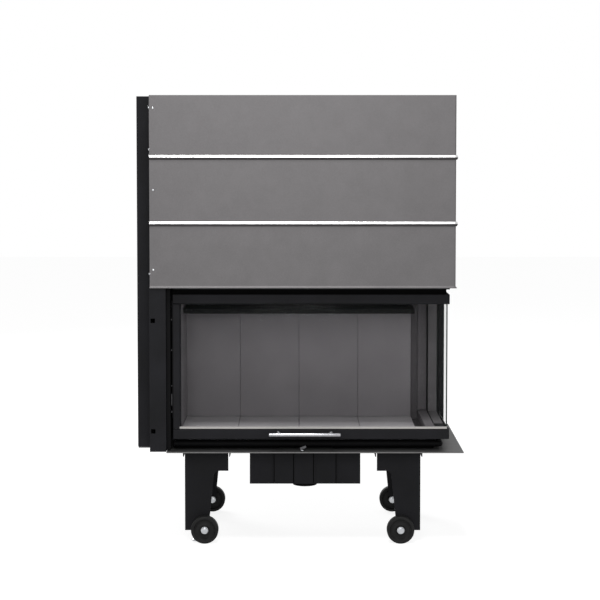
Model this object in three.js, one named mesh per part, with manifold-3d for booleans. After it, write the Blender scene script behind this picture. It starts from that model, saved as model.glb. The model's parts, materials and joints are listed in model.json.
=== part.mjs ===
// Corner fireplace insert with a lift door, on a wheeled under-frame.
// Millimetres, +Z up. X = 0 is the middle of the hood, Y = 0 its front sheet, Z = 0 the floor;
// the finished group is moved so that its origin is the bottom centre of the whole object.
import * as THREE from 'three';
import { mergeVertices } from 'three/addons/utils/BufferGeometryUtils.js';
import Module from 'manifold-3d';

const wasm = await Module();
wasm.setup();

// ---------------------------------------------------------------- driving dimensions

// general
const gap = 0.3;                    // between pieces that touch
const past = 1;                     // a cutting tool's run past the face it cuts
const bodyDepth = 540;              // front sheet to rear shield
const roundSteps = 32;              // facets of a large round
const barSteps = 20;                // of a bar or pin
const smallSteps = 16;              // of a thin post or stem
const cornerSteps = 6;              // of a quarter turn
const noseSteps = 8;                // of a half turn

// base plate
const baseTop = 314;
const baseThickness = 4;
const baseRightOverhang = 29;       // base plate past the hood's right side
const airInletRadius = 37.5;
const airInletSetback = 62;         // inlet centre behind the lever pivot

// hood
const hoodWidth = 982;
const hoodBottom = 845;
const hoodTop = 1462;
const hoodSheet = 1.5;
const hoodCornerRadius = 4;
const hoodTopFlange = 14;
const hoodLip = 5;                  // outward flare of the bottom edge
const hoodLipHeight = 5;
const beadHeight = 16;
const beadDepth = 6;
const lowerBeadZ = 1050.8;
const upperBeadZ = 1263.6;

// left front panel
const panelOverhang = 2;            // panel past the hood's left side
const panelSheet = 2;
const panelHole = 14;               // square service holes
const panelHoleInset = 4;
const panelLowerHoleZ = 381;
const panelUpperHoleZ = 739;

// counterweight casings
const casingSheet = 1.5;
const leftCasingStep = 50;          // left casing past the hood's left side
const leftCasingFront = 97;
const leftCasingBack = 300;
const rightCasingDepth = 145;       // front to back
const rightCasingLip = 15;
const rightCasingReturn = 100;      // part of the back that the right casing closes

// rear shield
const shieldSheet = 1.5;
const ventLength = 70;
const ventHeight = 8;
const ventPitch = 95;
const ventCount = 8;
const lowerVentZ = 380;
const upperVentDrop = 72;           // upper vents below the hood's top

// lift door
const doorLeft = -419;
const doorRight = 474.5;
const doorFront = 24;
const doorBottom = 352;
const doorRailTop = 821;
const doorFlangeTop = 842;
const doorFlange = 4;
const doorNeckSetback = 10;
const doorDepth = 30;               // front rails, front to back
const doorSideWidth = 40.5;         // side rails, outside to inside
const doorCasingGap = 3;            // side rails to right casing
const stileWidth = 24;
const rearStileDepth = 20;
const bottomRailHeight = 33;
const topRailHeight = 31;
const railWall = 3;
const railEdge = 4;                 // chamfer on the rails' outer edges
const glassThickness = 4;
const glassSetback = 6;
const glassBite = 18;               // glass held inside the rails
const retainerSheet = 2.7;
const retainerFront = 122;
const retainerPlay = 1;             // retainer to side glass

// handle
const handleLength = 231;
const handleRadius = 6;
const handleCentreX = 6.5;
const handleZ = 371.7;
const handleStandoff = 34;          // bar axis in front of the door
const postSpacing = 171;
const postRadius = 3;

// guides
const channelWeb = 2;
const channelDepth = 12;
const rightChannelSetback = 7;      // right channel behind the right casing's front
const rollerRadius = 12.7;
const rollerWidth = 8;
const rollerBore = 4.3;
const rollerAxle = 4;
const rollerEdge = 1;               // chamfer on the roller's tread
const rollerInset = 1;              // roller behind the channel's mouth
const rollerSpacing = 340;
const lowerRollerZ = 440;
const carriageSheet = 3;
const carriageClearance = 5.7;      // channel mouth to carriage plate
const carriageMargin = 20;          // carriage plate past its rollers
const armHeight = 60;
const lugWidth = 12;

// pulleys, cables and counterweights
const pulleyDrop = 92;              // pulley axle below the hood's top
const pulleyPitchRadius = 45;
const pulleyRim = 5;                // flange above the cable's centre line
const pulleyWidth = 14;
const pulleyBore = 6.3;
const pulleyAxle = 6;
const pulleyHubRadius = 14;
const pulleyHubProud = 4;           // hub past the rim on each side
const pulleyRimWidth = 8;
const pulleyWebRecess = 2;
const pulleySteps = 28;
const bracketSheet = 3;
const bracketWidth = 30;
const bracketLength = 40;
const leftCableX = -463;
const rightCableX = 455;
const leftCableY = 75;              // door run; the weight run is one pulley behind
const rightCableInset = 130;        // right door run in front of the rear shield
const cableRadius = 2;
const cableSides = 8;
const cableTurnSteps = 24;
const weightWidth = 36;
const weightDepth = 70;
const weightHeight = 500;
const weightDrop = 70;              // top of the weight below the pulley axle

// top frame
const frameLeg = 25;
const frameHeight = 30;
const frameSheet = 3;

// firebox
const plinthWall = 3;
const plinthHeight = 24;
const plinthFront = 66;
const plinthInset = 5;
const shellPlate = 4;
const shellLeft = -425.5;
const shellRight = 432;
const shellRearSpace = 106;         // shell to rear shield
const shellTop = 799;
const lintelHeight = 40;
const tileThickness = 20;
const tileBevel = 1.5;
const backTileWidth = 204;
const backTileCount = 4;
const lastTileWidth = 185;
const backTileThickness = 24.7;
const backTileLeft = -420;
const jointWidth = 1.2;
const jointDepth = 4;
const airChannel = 24;              // open strip between the tiles and the right ledge
const ledgeTop = 386;
const baffleZ = 739;
const baffleThickness = 18;
const baffleFront = 232;
const domeInset = 60;
const domeSheet = 3;
const domeHeight = 380;
const flueRadius = 100;
const flueWall = 2;
const flueTop = 1424;
const flueX = -12;
const flueFromBack = 172;           // flue centre in front of the shell's back
const flueBead = 3;
const flueBeadRise = 5;
const flueBeadDrop = 20;            // plain end above the collar's bead

// lower frame rail
const lowerRailBottom = 321;
const lowerRailTop = 340;
const lowerRailDepth = 13.7;
const lowerRailRadius = 16;
const lowerRailRight = 458;
const lowerRailInset = 12;          // end of the rail in front of the door's rear edge

// air box, spigot and lever
const airBoxWidth = 364;
const airBoxDepth = 260;
const airBoxFront = 100;
const airBoxCentreX = 8;
const airBoxBottom = 190;
const airBoxSheet = 2;
const creaseCount = 4;
const creaseSpacing = 72;
const creaseDepth = 0.9;
const spigotRadius = 37.5;
const spigotWall = 1.5;
const spigotFlange = 12;
const spigotBottom = 178;
const leverX = 8;
const leverPivotY = 200;
const leverTipY = 7;
const leverWidth = 13;
const leverThickness = 3;
const leverHeight = 2;              // lever above the base plate
const leverAngle = -3;              // degrees at rest
const leverPinRadius = 5;
const leverPinProud = 3;
const leverBossRadius = 14;
const leverSlotLeft = 87;
const leverSlotRight = 90;
const leverSlotHeight = 8;
const shutterRadius = 45;

// legs, wheels and feet
const legOuterX = 387;
const legSheet = 3;
const legFront = 88;
const legRearSpace = 19;            // rear leg plates to rear shield
const legBottom = 38;
const legTopWidth = 143;
const legNotchZ = 235;
const legKneeWidth = 95;
const legShinZ = 90;
const legShinWidth = 82;
const legToeWidth = 76;
const legFillet = 18;
const legFold = 25;
const beamMargin = 6;
const beamHeight = 27;
const wheelRadius = 45;
const wheelWidth = 30;
const wheelX = 321;
const wheelClearance = 3;
const wheelBore = 6.3;
const axleRadius = 6;
const axleProtrusion = 6;
const wheelRimWall = 9;
const wheelWebThickness = 16;
const wheelHubRadius = 15;
const wheelTreadEdge = 4;
const wheelRimSlope = 3;
const wheelHubSlope = 2;
const footRadius = 20;
const footEdge = 1;
const footPadHeight = 8;
const footShoulder = 3;             // slope from the pad's edge to the stem
const footNeck = 4;
const footStemRadius = 6;
const footStemHeight = 112;
const footX = 347;
const footSetback = 21;             // foot axis behind the leg plate
const footTabZ = 72;
const footTabThickness = 6;
const rightFootLift = 14;           // the right feet are wound up

// ---------------------------------------------------------------- places that follow from them

const halfHood = hoodWidth / 2;
const baseBottom = baseTop - baseThickness;
const baseLeft = -halfHood - leftCasingStep + casingSheet;
const baseRight = halfHood + baseRightOverhang;
const standZ = baseTop + gap;                           // everything that stands on the base plate
const channelMouthX = doorLeft - gap - carriageSheet - carriageClearance;
const channelBackX = channelMouthX - channelDepth;
const panelRight = channelBackX - gap;
const panelLeft = -halfHood - panelOverhang;
const channelFront = doorFront;
const channelSpan = 2 * (rollerRadius + gap + channelWeb);
const rollerY = channelFront + channelSpan / 2;
const rightCasingFront = bodyDepth - rightCasingDepth;
const rightChannelX = halfHood - casingSheet - gap;     // web of the right channel
const rightChannelY = rightCasingFront + rightChannelSetback;
const rightRollerY = rightChannelY + channelSpan / 2;
const upperRollerZ = lowerRollerZ + rollerSpacing;
const carriageBottom = lowerRollerZ - carriageMargin;
const carriageTop = upperRollerZ + carriageMargin;
const doorBack = rightCasingFront - doorCasingGap;
const rightCableY = bodyDepth - rightCableInset;
const pulleyZ = hoodTop - pulleyDrop;
const frameTop = hoodTop - hoodSheet - gap;
const frameBottom = frameTop - frameHeight;
const weightTop = pulleyZ - weightDrop;
const shellBack = bodyDepth - shellRearSpace;
const flueY = shellBack - flueFromBack;
const shellBottom = standZ + plinthHeight;
const floorTop = shellBottom + shellPlate + gap + tileThickness;
const backTileFront = shellBack - shellPlate - gap - backTileThickness;
const backTileRight = backTileLeft + (backTileCount - 1) * backTileWidth + lastTileWidth;
const ledgeLeft = backTileRight + airChannel - gap;
const paneBottom = doorBottom + bottomRailHeight - glassBite;
const paneTop = doorRailTop - topRailHeight + glassBite;
const legBack = bodyDepth - legRearSpace;
const wheelZ = wheelRadius;

// ---------------------------------------------------------------- shape helpers

const group = new THREE.Group();

function addPiece(name, geometry, finish) {
  const mesh = new THREE.Mesh(geometry, finish);
  mesh.name = name;
  group.add(mesh);
}

// welded vertices without normals, as a solid for cutting and joining
function solid(geometry) {
  const bare = geometry.clone();
  for (const key of Object.keys(bare.attributes)) if (key !== 'position') bare.deleteAttribute(key);
  const welded = mergeVertices(bare, 1e-4);
  return new wasm.Manifold(new wasm.Mesh({
    numProp: 3,
    vertProperties: new Float32Array(welded.attributes.position.array),
    triVerts: new Uint32Array(welded.index.array),
  }));
}

function toGeometry(manifold) {
  const mesh = manifold.getMesh();
  const geometry = new THREE.BufferGeometry();
  geometry.setAttribute('position', new THREE.BufferAttribute(Float32Array.from(mesh.vertProperties), 3));
  geometry.setIndex(new THREE.BufferAttribute(Uint32Array.from(mesh.triVerts), 1));
  geometry.computeVertexNormals();
  return geometry;
}

function join(...geometries) {
  return toGeometry(geometries.map(solid).reduce((whole, next) => whole.add(next)));
}

function cut(geometry, ...tools) {
  return toGeometry(tools.map(solid).reduce((rest, tool) => rest.subtract(tool), solid(geometry)));
}

// a block given by its lowest and highest corner
function block(x0, y0, z0, x1, y1, z1) {
  return new THREE.BoxGeometry(x1 - x0, y1 - y0, z1 - z0)
    .translate((x0 + x1) / 2, (y0 + y1) / 2, (z0 + z1) / 2);
}

const points = (list) => list.map(([a, b]) => new THREE.Vector2(a, b));

function prism(outline, height, holes = []) {
  const shape = new THREE.Shape(points(outline));
  for (const hole of holes) shape.holes.push(new THREE.Path(points(hole)));
  return new THREE.ExtrudeGeometry(shape, { depth: height, bevelEnabled: false });
}

// plan outline (X, Y) raised from z0 to z1
const raise = (outline, z0, z1, holes = []) => prism(outline, z1 - z0, holes).translate(0, 0, z0);

// outline (X, Z) run from y0 back to y1
function runBack(outline, y0, y1) {
  return prism(outline, y1 - y0).rotateX(Math.PI / 2).translate(0, y1, 0);
}

// outline (Y, Z) run from x0 to x1
function runRight(outline, x0, x1) {
  return prism(outline, x1 - x0).rotateX(Math.PI / 2).rotateZ(Math.PI / 2).translate(x0, 0, 0);
}

const rectangle = (x0, y0, x1, y1) => [[x0, y0], [x1, y0], [x1, y1], [x0, y1]];

// a sheet of even thickness, folded along a line; the material lies to the left of the line
function folded(line, thickness) {
  const inner = line.map((p, i) => {
    const before = line[Math.max(i - 1, 0)];
    const after = line[Math.min(i + 1, line.length - 1)];
    const normals = [[before, p], [p, after]].filter(([a, b]) => a !== b).map(([a, b]) => {
      const length = Math.hypot(b[0] - a[0], b[1] - a[1]);
      return [-(b[1] - a[1]) / length, (b[0] - a[0]) / length];
    });
    const [n, m] = [normals[0], normals[normals.length - 1]];
    const scale = thickness / (1 + n[0] * m[0] + n[1] * m[1]);
    return [p[0] + (n[0] + m[0]) * scale, p[1] + (n[1] + m[1]) * scale];
  });
  return [...line, ...inner.reverse()];
}

function arc(cx, cy, radius, from, to, steps) {
  return Array.from({ length: steps + 1 }, (_, i) => {
    const angle = THREE.MathUtils.degToRad(from + (to - from) * i / steps);
    return [cx + radius * Math.cos(angle), cy + radius * Math.sin(angle)];
  });
}

const circle = (cx, cy, radius, steps = roundSteps) => arc(cx, cy, radius, 0, 360, steps).slice(0, -1);

// a round bar or ring about a line; the profile is (radius, place along the line) and closes on itself
function turned(profile, steps = roundSteps) {
  return new THREE.LatheGeometry(points([...profile, profile[0]]), steps).rotateX(Math.PI / 2);
}

const turnedAlongX = (profile, steps) => turned(profile, steps).rotateY(Math.PI / 2);
const turnedAlongY = (profile, steps) => turned(profile, steps).rotateX(-Math.PI / 2);

function pinAlongX(x0, x1, y, z, radius, steps = barSteps) {
  return new THREE.CylinderGeometry(radius, radius, x1 - x0, steps).rotateZ(Math.PI / 2)
    .translate((x0 + x1) / 2, y, z);
}

function pinAlongY(y0, y1, x, z, radius, steps = barSteps) {
  return new THREE.CylinderGeometry(radius, radius, y1 - y0, steps).translate(x, (y0 + y1) / 2, z);
}

function pinUp(z0, z1, x, y, radius, steps = barSteps) {
  return new THREE.CylinderGeometry(radius, radius, z1 - z0, steps).rotateX(Math.PI / 2)
    .translate(x, y, (z0 + z1) / 2);
}

// rings of points joined into one closed skin, capped at both ends unless it closes on itself
function loft(rings, closed = false) {
  const size = rings[0].length;
  const index = [];
  const last = closed ? rings.length : rings.length - 1;
  for (let i = 0; i < last; i++) {
    for (let j = 0; j < size; j++) {
      const a = i * size + j;
      const b = i * size + (j + 1) % size;
      const c = ((i + 1) % rings.length) * size + j;
      const d = ((i + 1) % rings.length) * size + (j + 1) % size;
      index.push(a, c, b, b, c, d);
    }
  }
  return { rings, index };
}

// the skin's faces are turned to point out, whichever way round its rings run
function skin({ rings, index }) {
  const vertices = rings.flat(1).map(([x, y, z]) => new THREE.Vector3(x, y, z));
  let volume = 0;
  for (let i = 0; i < index.length; i += 3) {
    const [a, b, c] = [index[i], index[i + 1], index[i + 2]].map((k) => vertices[k]);
    volume += a.dot(b.clone().cross(c));
  }
  const geometry = new THREE.BufferGeometry();
  geometry.setAttribute('position', new THREE.Float32BufferAttribute(rings.flat(2), 3));
  geometry.setIndex(volume > 0 ? index : index.reverse());
  return geometry;
}

// a section (outward, z) carried along stations {at: [x, y], out: [x, y]}
function sweep(outline, stations) {
  const section = THREE.ShapeUtils.isClockWise(points(outline)) ? outline.toReversed() : outline;
  const rings = stations.map(({ at, out }) => section.map(
    ([o, z]) => [at[0] + out[0] * o, at[1] + out[1] * o, z]));
  const body = loft(rings);
  const caps = THREE.ShapeUtils.triangulateShape(points(section), []);
  const end = (rings.length - 1) * section.length;
  for (const [a, b, c] of caps) {
    body.index.push(a, b, c);
    body.index.push(end + a, end + c, end + b);
  }
  return skin(body);
}

// the way along the front, round the right front corner and back along the right side
function cornerPath(left, right, front, back, radius = 0) {
  const corner = radius === 0
    ? [{ at: [right, front], out: [1, -1] }]
    : arc(0, 0, 1, -90, 0, cornerSteps).map((out) => ({
      at: [right - radius + radius * out[0], front + radius + radius * out[1]], out,
    }));
  return [{ at: [left, front], out: [0, -1] }, ...corner, { at: [right, back], out: [1, 0] }];
}

// ---------------------------------------------------------------- finishes

const finish = (color, roughness, metalness = 0) => new THREE.MeshStandardMaterial({
  color, roughness, metalness,
});
const greySheet = finish(0x767475, 0.5, 0.6);
const blackEnamel = finish(0x26262a, 0.55);
const firedSteel = finish(0x1c1c1f, 0.7, 0.3);
const baseSteel = finish(0x6a6a6b, 0.45, 0.6);
const refractory = finish(0x6b6a6c, 0.95);
const paleSheet = finish(0x727173, 0.6);
const stainless = finish(0xc9c9cc, 0.25, 1);
const zincSteel = finish(0xa9abae, 0.35, 1);
const castIron = finish(0x3c3c3f, 0.75, 0.4);
const ceramicGlass = new THREE.MeshStandardMaterial({
  color: 0xdfe6e2, roughness: 0.05, transparent: true, opacity: 0.2,
});
const blackNylon = finish(0x1f1f20, 0.6);

// ---------------------------------------------------------------- carcass

function basePlate() {
  const plan = [
    [channelBackX, 0], [baseRight, 0], [baseRight, bodyDepth], [baseLeft, bodyDepth],
    [baseLeft, leftCasingFront], [channelBackX, leftCasingFront],
  ];
  const inlet = circle(leverX, leverPivotY + airInletSetback, airInletRadius);
  const plate = raise(plan, baseBottom, baseTop, [inlet]);
  const pivot = pinUp(
    baseTop - past, baseTop + leverHeight + leverThickness + leverPinProud,
    leverX, leverPivotY, leverPinRadius);
  addPiece('base_plate', join(plate, pivot), baseSteel);
}

// one rolled bead, as points (outward, z) from its foot to its top
function bead(z) {
  return arc(0, 0, 1, -90, 90, noseSteps).map(([x, y]) => [beadDepth * x, z + beadHeight / 2 * y]);
}

function hood() {
  const line = [
    [hoodLip, hoodBottom], [hoodLip * 0.6, hoodBottom + hoodLipHeight * 0.4],
    [0, hoodBottom + hoodLipHeight], ...bead(lowerBeadZ), ...bead(upperBeadZ), [0, hoodTop],
  ];
  const back = rightCasingFront - gap;
  const wall = sweep(folded(line, hoodSheet), cornerPath(-halfHood, halfHood, 0, back, hoodCornerRadius));
  const flange = raise([
    [-halfHood, 0],
    ...arc(halfHood - hoodCornerRadius, hoodCornerRadius, hoodCornerRadius, -90, 0, cornerSteps),
    [halfHood, back], [halfHood - hoodTopFlange, back], [halfHood - hoodTopFlange, hoodTopFlange],
    [-halfHood, hoodTopFlange],
  ], hoodTop - hoodSheet, hoodTop);
  const sideReturn = raise(
    rectangle(-halfHood, 0, -halfHood + hoodSheet, leftCasingFront - gap),
    hoodBottom + hoodLipHeight, hoodTop);
  addPiece('hood', join(wall, flange, sideReturn), greySheet);
}

function leftFrontPanel() {
  const line = [
    [panelLeft, leftCasingFront - gap], [panelLeft, 0],
    [panelRight, 0], [panelRight, channelFront + channelSpan],
  ];
  const sheet = raise(folded(line, panelSheet), standZ, hoodBottom - gap);
  const holes = [panelLowerHoleZ, panelUpperHoleZ].map((z) => block(
    panelLeft + panelHoleInset, -past, z - panelHole / 2,
    panelLeft + panelHoleInset + panelHole, panelSheet + past, z + panelHole / 2));
  addPiece('left_front_panel', cut(sheet, ...holes), blackEnamel);
}

function leftCasing() {
  const outer = -halfHood - leftCasingStep;
  const line = [
    [shellLeft - gap, leftCasingBack], [outer, leftCasingBack],
    [outer, leftCasingFront], [-halfHood + hoodSheet - gap, leftCasingFront],
  ];
  const sheet = raise(folded(line, casingSheet), standZ, hoodTop);
  const frameNotch = block(
    -halfHood, leftCasingBack - 2 * casingSheet, frameBottom - gap,
    0, leftCasingBack + past, hoodTop + past);
  addPiece('left_casing', cut(sheet, frameNotch), blackEnamel);
}

function rightCasing() {
  const line = [
    [halfHood - rightCasingLip, rightCasingFront], [halfHood, rightCasingFront],
    [halfHood, bodyDepth], [halfHood - rightCasingReturn, bodyDepth],
  ];
  const frameNotch = block(
    0, rightCasingFront - past, frameBottom - gap,
    halfHood - casingSheet, rightCasingFront + 2 * casingSheet, hoodTop + past);
  addPiece('right_casing', cut(raise(folded(line, casingSheet), standZ, hoodTop), frameNotch), blackEnamel);
}

function rearShield() {
  const line = [
    [halfHood - rightCasingReturn - gap, bodyDepth], [-halfHood, bodyDepth],
    [-halfHood, leftCasingBack + gap],
  ];
  const sheet = raise(folded(line, shieldSheet), standZ, hoodTop);
  const middle = (-halfHood + halfHood - rightCasingReturn) / 2;
  const row = (z) => Array.from({ length: ventCount }, (_, i) => {
    const x = middle + (i - (ventCount - 1) / 2) * ventPitch;
    return block(
      x - ventLength / 2, bodyDepth - 2 * shieldSheet, z,
      x + ventLength / 2, bodyDepth + past, z + ventHeight);
  });
  const vents = [...row(lowerVentZ), ...row(hoodTop - upperVentDrop)];
  addPiece('rear_shield', cut(sheet, ...vents), blackEnamel);
}

function topFrame() {
  const left = -halfHood + hoodSheet + gap;
  const right = halfHood - hoodSheet - gap;
  const front = hoodSheet + gap;
  const back = bodyDepth - shieldSheet - gap;
  const outline = [
    [left, front], [right - hoodCornerRadius, front], [right, front + hoodCornerRadius],
    [right, back], [left, back],
  ];
  const ring = (inset, z0, z1) => raise(
    outline, z0, z1,
    [rectangle(left + inset, front + inset, right - inset, back - inset)]);
  addPiece('top_frame', join(
    ring(frameLeg, frameBottom, frameBottom + frameSheet),
    ring(frameSheet, frameBottom, frameTop)), firedSteel);
}

// ---------------------------------------------------------------- firebox

function plinth() {
  const left = shellLeft + plinthInset;
  const right = shellRight - plinthInset;
  const back = shellBack - plinthInset;
  const ring = raise(
    rectangle(left, plinthFront, right, back), standZ, shellBottom - gap,
    [rectangle(left + plinthWall, plinthFront + plinthWall, right - plinthWall, back - plinthWall)]);
  const slot = block(
    leverX - leverSlotLeft, plinthFront - past, standZ - past,
    leverX + leverSlotRight, plinthFront + plinthWall + past, standZ + leverSlotHeight);
  addPiece('plinth', cut(ring, slot), firedSteel);
}

function lowerFrameRail() {
  const front = plinthFront - gap - lowerRailDepth;
  const height = lowerRailTop - lowerRailBottom;
  const nose = arc(-height / 2, lowerRailBottom + height / 2, height / 2, -90, 90, noseSteps);
  const section = [[-lowerRailDepth, lowerRailBottom], ...nose, [-lowerRailDepth, lowerRailTop]];
  const path = cornerPath(doorLeft, lowerRailRight, front, doorBack - lowerRailInset, lowerRailRadius);
  addPiece('lower_frame_rail', sweep(section, path), firedSteel);
}

const domeLeft = shellLeft + domeInset;
const domeRight = shellRight - domeInset;
const domeFront = plinthFront + domeInset;
const domeBack = shellBack - domeInset / 2;

function fireboxShell() {
  const inner = rectangle(
    domeLeft + domeSheet, domeFront + domeSheet, domeRight - domeSheet, domeBack - domeSheet);
  const plan = rectangle(shellLeft, plinthFront, shellRight, shellBack);
  addPiece('firebox_shell', join(
    raise(plan, shellBottom, shellBottom + shellPlate),
    raise(plan, shellTop - shellPlate, shellTop, [inner]),
    block(shellLeft, plinthFront, shellBottom, shellLeft + shellPlate, shellBack, shellTop),
    block(shellLeft, shellBack - shellPlate, shellBottom, shellRight, shellBack, shellTop),
    block(
      shellLeft, plinthFront, shellTop - shellPlate,
      shellRight, plinthFront + shellPlate, shellTop + lintelHeight),
  ), firedSteel);
}

const floorBottom = shellBottom + shellPlate + gap;
const liningLeft = shellLeft + shellPlate + gap;
const liningTop = shellTop - shellPlate - gap;

// a cast board with eased edges on its face
function board(width, height, thickness) {
  const face = rectangle(tileBevel, tileBevel, width - tileBevel, height - tileBevel);
  const shape = new THREE.Shape(points(face));
  return new THREE.ExtrudeGeometry(shape, {
    depth: thickness - 2 * tileBevel, bevelThickness: tileBevel, bevelSize: tileBevel, bevelSegments: 1,
  }).translate(0, 0, tileBevel);
}

function lining() {
  const backBottom = floorTop + gap;
  for (let i = 0; i < backTileCount; i++) {
    const width = i === backTileCount - 1 ? lastTileWidth : backTileWidth;
    const tile = board(width - gap, liningTop - backBottom, backTileThickness)
      .rotateX(Math.PI / 2)
      .translate(backTileLeft + i * backTileWidth + gap / 2, backTileFront + backTileThickness, backBottom);
    addPiece(`back_tile_${i + 1}`, tile, refractory);
  }
  const grooves = Array.from({ length: backTileCount - 1 }, (_, i) => {
    const x = backTileLeft + (i + 1) * backTileWidth;
    return block(
      x - jointWidth / 2, 0, floorTop - jointDepth, x + jointWidth / 2, bodyDepth, floorTop + past);
  });
  addPiece('floor_tile', cut(
    block(liningLeft, plinthFront + gap, floorBottom, backTileRight, shellBack - shellPlate - gap, floorTop),
    ...grooves), refractory);
  const leftFront = plinthFront + shellPlate + gap;
  const leftTile = board(backTileFront - gap - leftFront, liningTop - backBottom, tileThickness)
    .rotateX(Math.PI / 2).rotateZ(Math.PI / 2)
    .translate(liningLeft, leftFront, backBottom);
  addPiece('left_tile', leftTile, refractory);
  addPiece('right_ledge', block(
    ledgeLeft, plinthFront + gap, floorBottom, shellRight - gap, shellBack - shellPlate - gap, ledgeTop),
  refractory);
  const rearRight = board(shellRight - gap - ledgeLeft, liningTop - ledgeTop - gap, tileThickness)
    .rotateX(Math.PI / 2)
    .translate(ledgeLeft, shellBack - shellPlate - gap, ledgeTop + gap);
  addPiece('rear_right_tile', rearRight, refractory);
  addPiece('baffle', block(
    liningLeft + tileThickness + gap, baffleFront, baffleZ, backTileRight, backTileFront - gap,
    baffleZ + baffleThickness), refractory);
}

// flat sides and quarter cones from a square foot to a round top; the inset gives the inside
function squareToRound(inset, bottom, top) {
  const foot = rectangle(domeLeft + inset, domeFront + inset, domeRight - inset, domeBack - inset);
  const crown = circle(flueX, flueY, flueRadius - inset);
  return toGeometry(wasm.Manifold.hull([
    ...foot.map(([x, y]) => [x, y, bottom]), ...crown.map(([x, y]) => [x, y, top]),
  ]));
}

function smokeDome() {
  const bottom = shellTop + gap;
  const top = bottom + domeHeight;
  addPiece('smoke_dome', cut(
    squareToRound(0, bottom, top),
    join(
      squareToRound(domeSheet, bottom - past, top),
      pinUp(top - past, top + past, flueX, flueY, flueRadius - domeSheet, roundSteps))), castIron);
}

function flueCollar() {
  const bottom = shellTop + gap + domeHeight + gap;
  const inner = flueRadius - flueWall;
  const beadTop = flueTop - flueBeadDrop;
  const profile = [
    [inner, bottom], [flueRadius + flueBead, bottom], [flueRadius + flueBead, bottom + flueBead],
    [flueRadius, bottom + 2 * flueBead], [flueRadius, beadTop - 2 * flueBeadRise],
    [flueRadius + flueBead, beadTop - flueBeadRise], [flueRadius, beadTop],
    [flueRadius, flueTop], [inner, flueTop],
  ];
  addPiece('flue_collar', turned(profile).translate(flueX, flueY, 0), castIron);
}

// ---------------------------------------------------------------- lift door

// a rail's section: front wall, glass groove and inner angle; it is mirrored for the rail over the glass
function railSection(z, height, depth, up) {
  const groove = [glassSetback - gap, glassSetback + glassThickness + gap];
  const heights = [
    [0, 0], [0, height - railEdge], [-railEdge, height], [-groove[0], height],
    [-groove[0], height - glassBite - railWall], [-groove[1], height - glassBite - railWall],
    [-groove[1], height], [-depth, height], [-depth, height - railWall],
    [-groove[1] - railWall, height - railWall], [-groove[1] - railWall, railWall],
    [-groove[1] - railWall, 0],
  ];
  return heights.map(([o, h]) => [o, z + up * h]);
}

// the panes, or with some room around them the space they need in the rails
function frontPane(room = 0) {
  return block(
    doorLeft + stileWidth - glassBite + gap - room, doorFront + glassSetback - room, paneBottom - room,
    doorRight - glassSetback + room, doorFront + glassSetback + glassThickness + room, paneTop + room);
}

function sidePane(room = 0) {
  return block(
    doorRight - glassSetback - glassThickness - room, doorFront + glassSetback + glassThickness + gap - room,
    paneBottom - room, doorRight - glassSetback + room, doorBack - railWall - gap + room, paneTop + room);
}

function doorRails() {
  const turnY = doorFront + glassSetback + glassThickness + gap;
  const rail = (z, height, up) => {
    const front = sweep(railSection(z, height, doorDepth, up),
      [{ at: [doorLeft, doorFront], out: [0, -1] }, { at: [doorRight, doorFront], out: [0, -1] }]);
    const side = sweep(railSection(z, height, doorSideWidth, up),
      [{ at: [doorRight, turnY], out: [1, 0] }, { at: [doorRight, doorBack], out: [1, 0] }]);
    const corner = block(
      doorRight - glassSetback + gap, doorFront, Math.min(z, z + up * (height - railEdge)),
      doorRight, turnY + past, Math.max(z, z + up * (height - railEdge)));
    return cut(join(front, side, corner), frontPane(gap), sidePane(gap));
  };
  addPiece('door_bottom_rail', rail(doorBottom, bottomRailHeight, 1), blackEnamel);
  const path = cornerPath(doorLeft, doorRight, doorFront, doorBack);
  const neckX = -doorNeckSetback;
  const neck = sweep(rectangle(neckX - railWall, doorRailTop - railWall, neckX, doorFlangeTop), path);
  const flange = sweep(rectangle(-doorDepth, doorFlangeTop - doorFlange, 0, doorFlangeTop), path);
  addPiece('door_top_rail', join(rail(doorRailTop, topRailHeight, -1), neck, flange), blackEnamel);
}

const railsBottom = doorBottom + bottomRailHeight + gap;
const railsTop = doorRailTop - topRailHeight - gap;

function doorStiles() {
  const grooveFront = doorFront + glassSetback - gap;
  const grooveBack = doorFront + glassSetback + glassThickness + gap;
  const left = raise([
    [doorLeft, doorFront], [doorLeft + stileWidth - railEdge, doorFront],
    [doorLeft + stileWidth, doorFront + railEdge], [doorLeft + stileWidth, grooveFront],
    [doorLeft + stileWidth - glassBite, grooveFront], [doorLeft + stileWidth - glassBite, grooveBack],
    [doorLeft + stileWidth, grooveBack], [doorLeft + stileWidth, doorFront + doorDepth],
    [doorLeft + railWall, doorFront + doorDepth],
    [doorLeft, doorFront + doorDepth],
  ], railsBottom, railsTop);
  addPiece('door_left_stile', left, blackEnamel);
  const grooveRight = doorRight - glassSetback + gap;
  const grooveLeft = doorRight - glassSetback - glassThickness - gap;
  const front = doorBack - rearStileDepth;
  const rear = raise([
    [doorRight - doorSideWidth, front], [grooveLeft, front], [grooveLeft, doorBack - railWall],
    [grooveRight, doorBack - railWall], [grooveRight, front], [doorRight, front],
    [doorRight, doorBack], [doorRight - doorSideWidth, doorBack],
  ], railsBottom, railsTop);
  addPiece('door_rear_stile', rear, blackEnamel);
}

function doorGlass() {
  addPiece('front_glass', frontPane(), ceramicGlass);
  addPiece('side_glass', sidePane(), ceramicGlass);
}

// the pale sheet frame that clamps the side glass from inside
function sideGlassRetainer() {
  const outer = doorRight - glassSetback - glassThickness - gap - retainerPlay;
  const inner = doorRight - doorSideWidth;
  const back = doorBack - rearStileDepth - gap;
  const plan = rectangle(inner, retainerFront, outer, back);
  addPiece('side_glass_retainer', join(
    raise(plan, railsBottom, railsBottom + retainerSheet),
    raise(plan, railsTop - retainerSheet, railsTop),
    block(inner, back - retainerSheet, railsBottom, outer, back, railsTop)), paleSheet);
}

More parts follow.
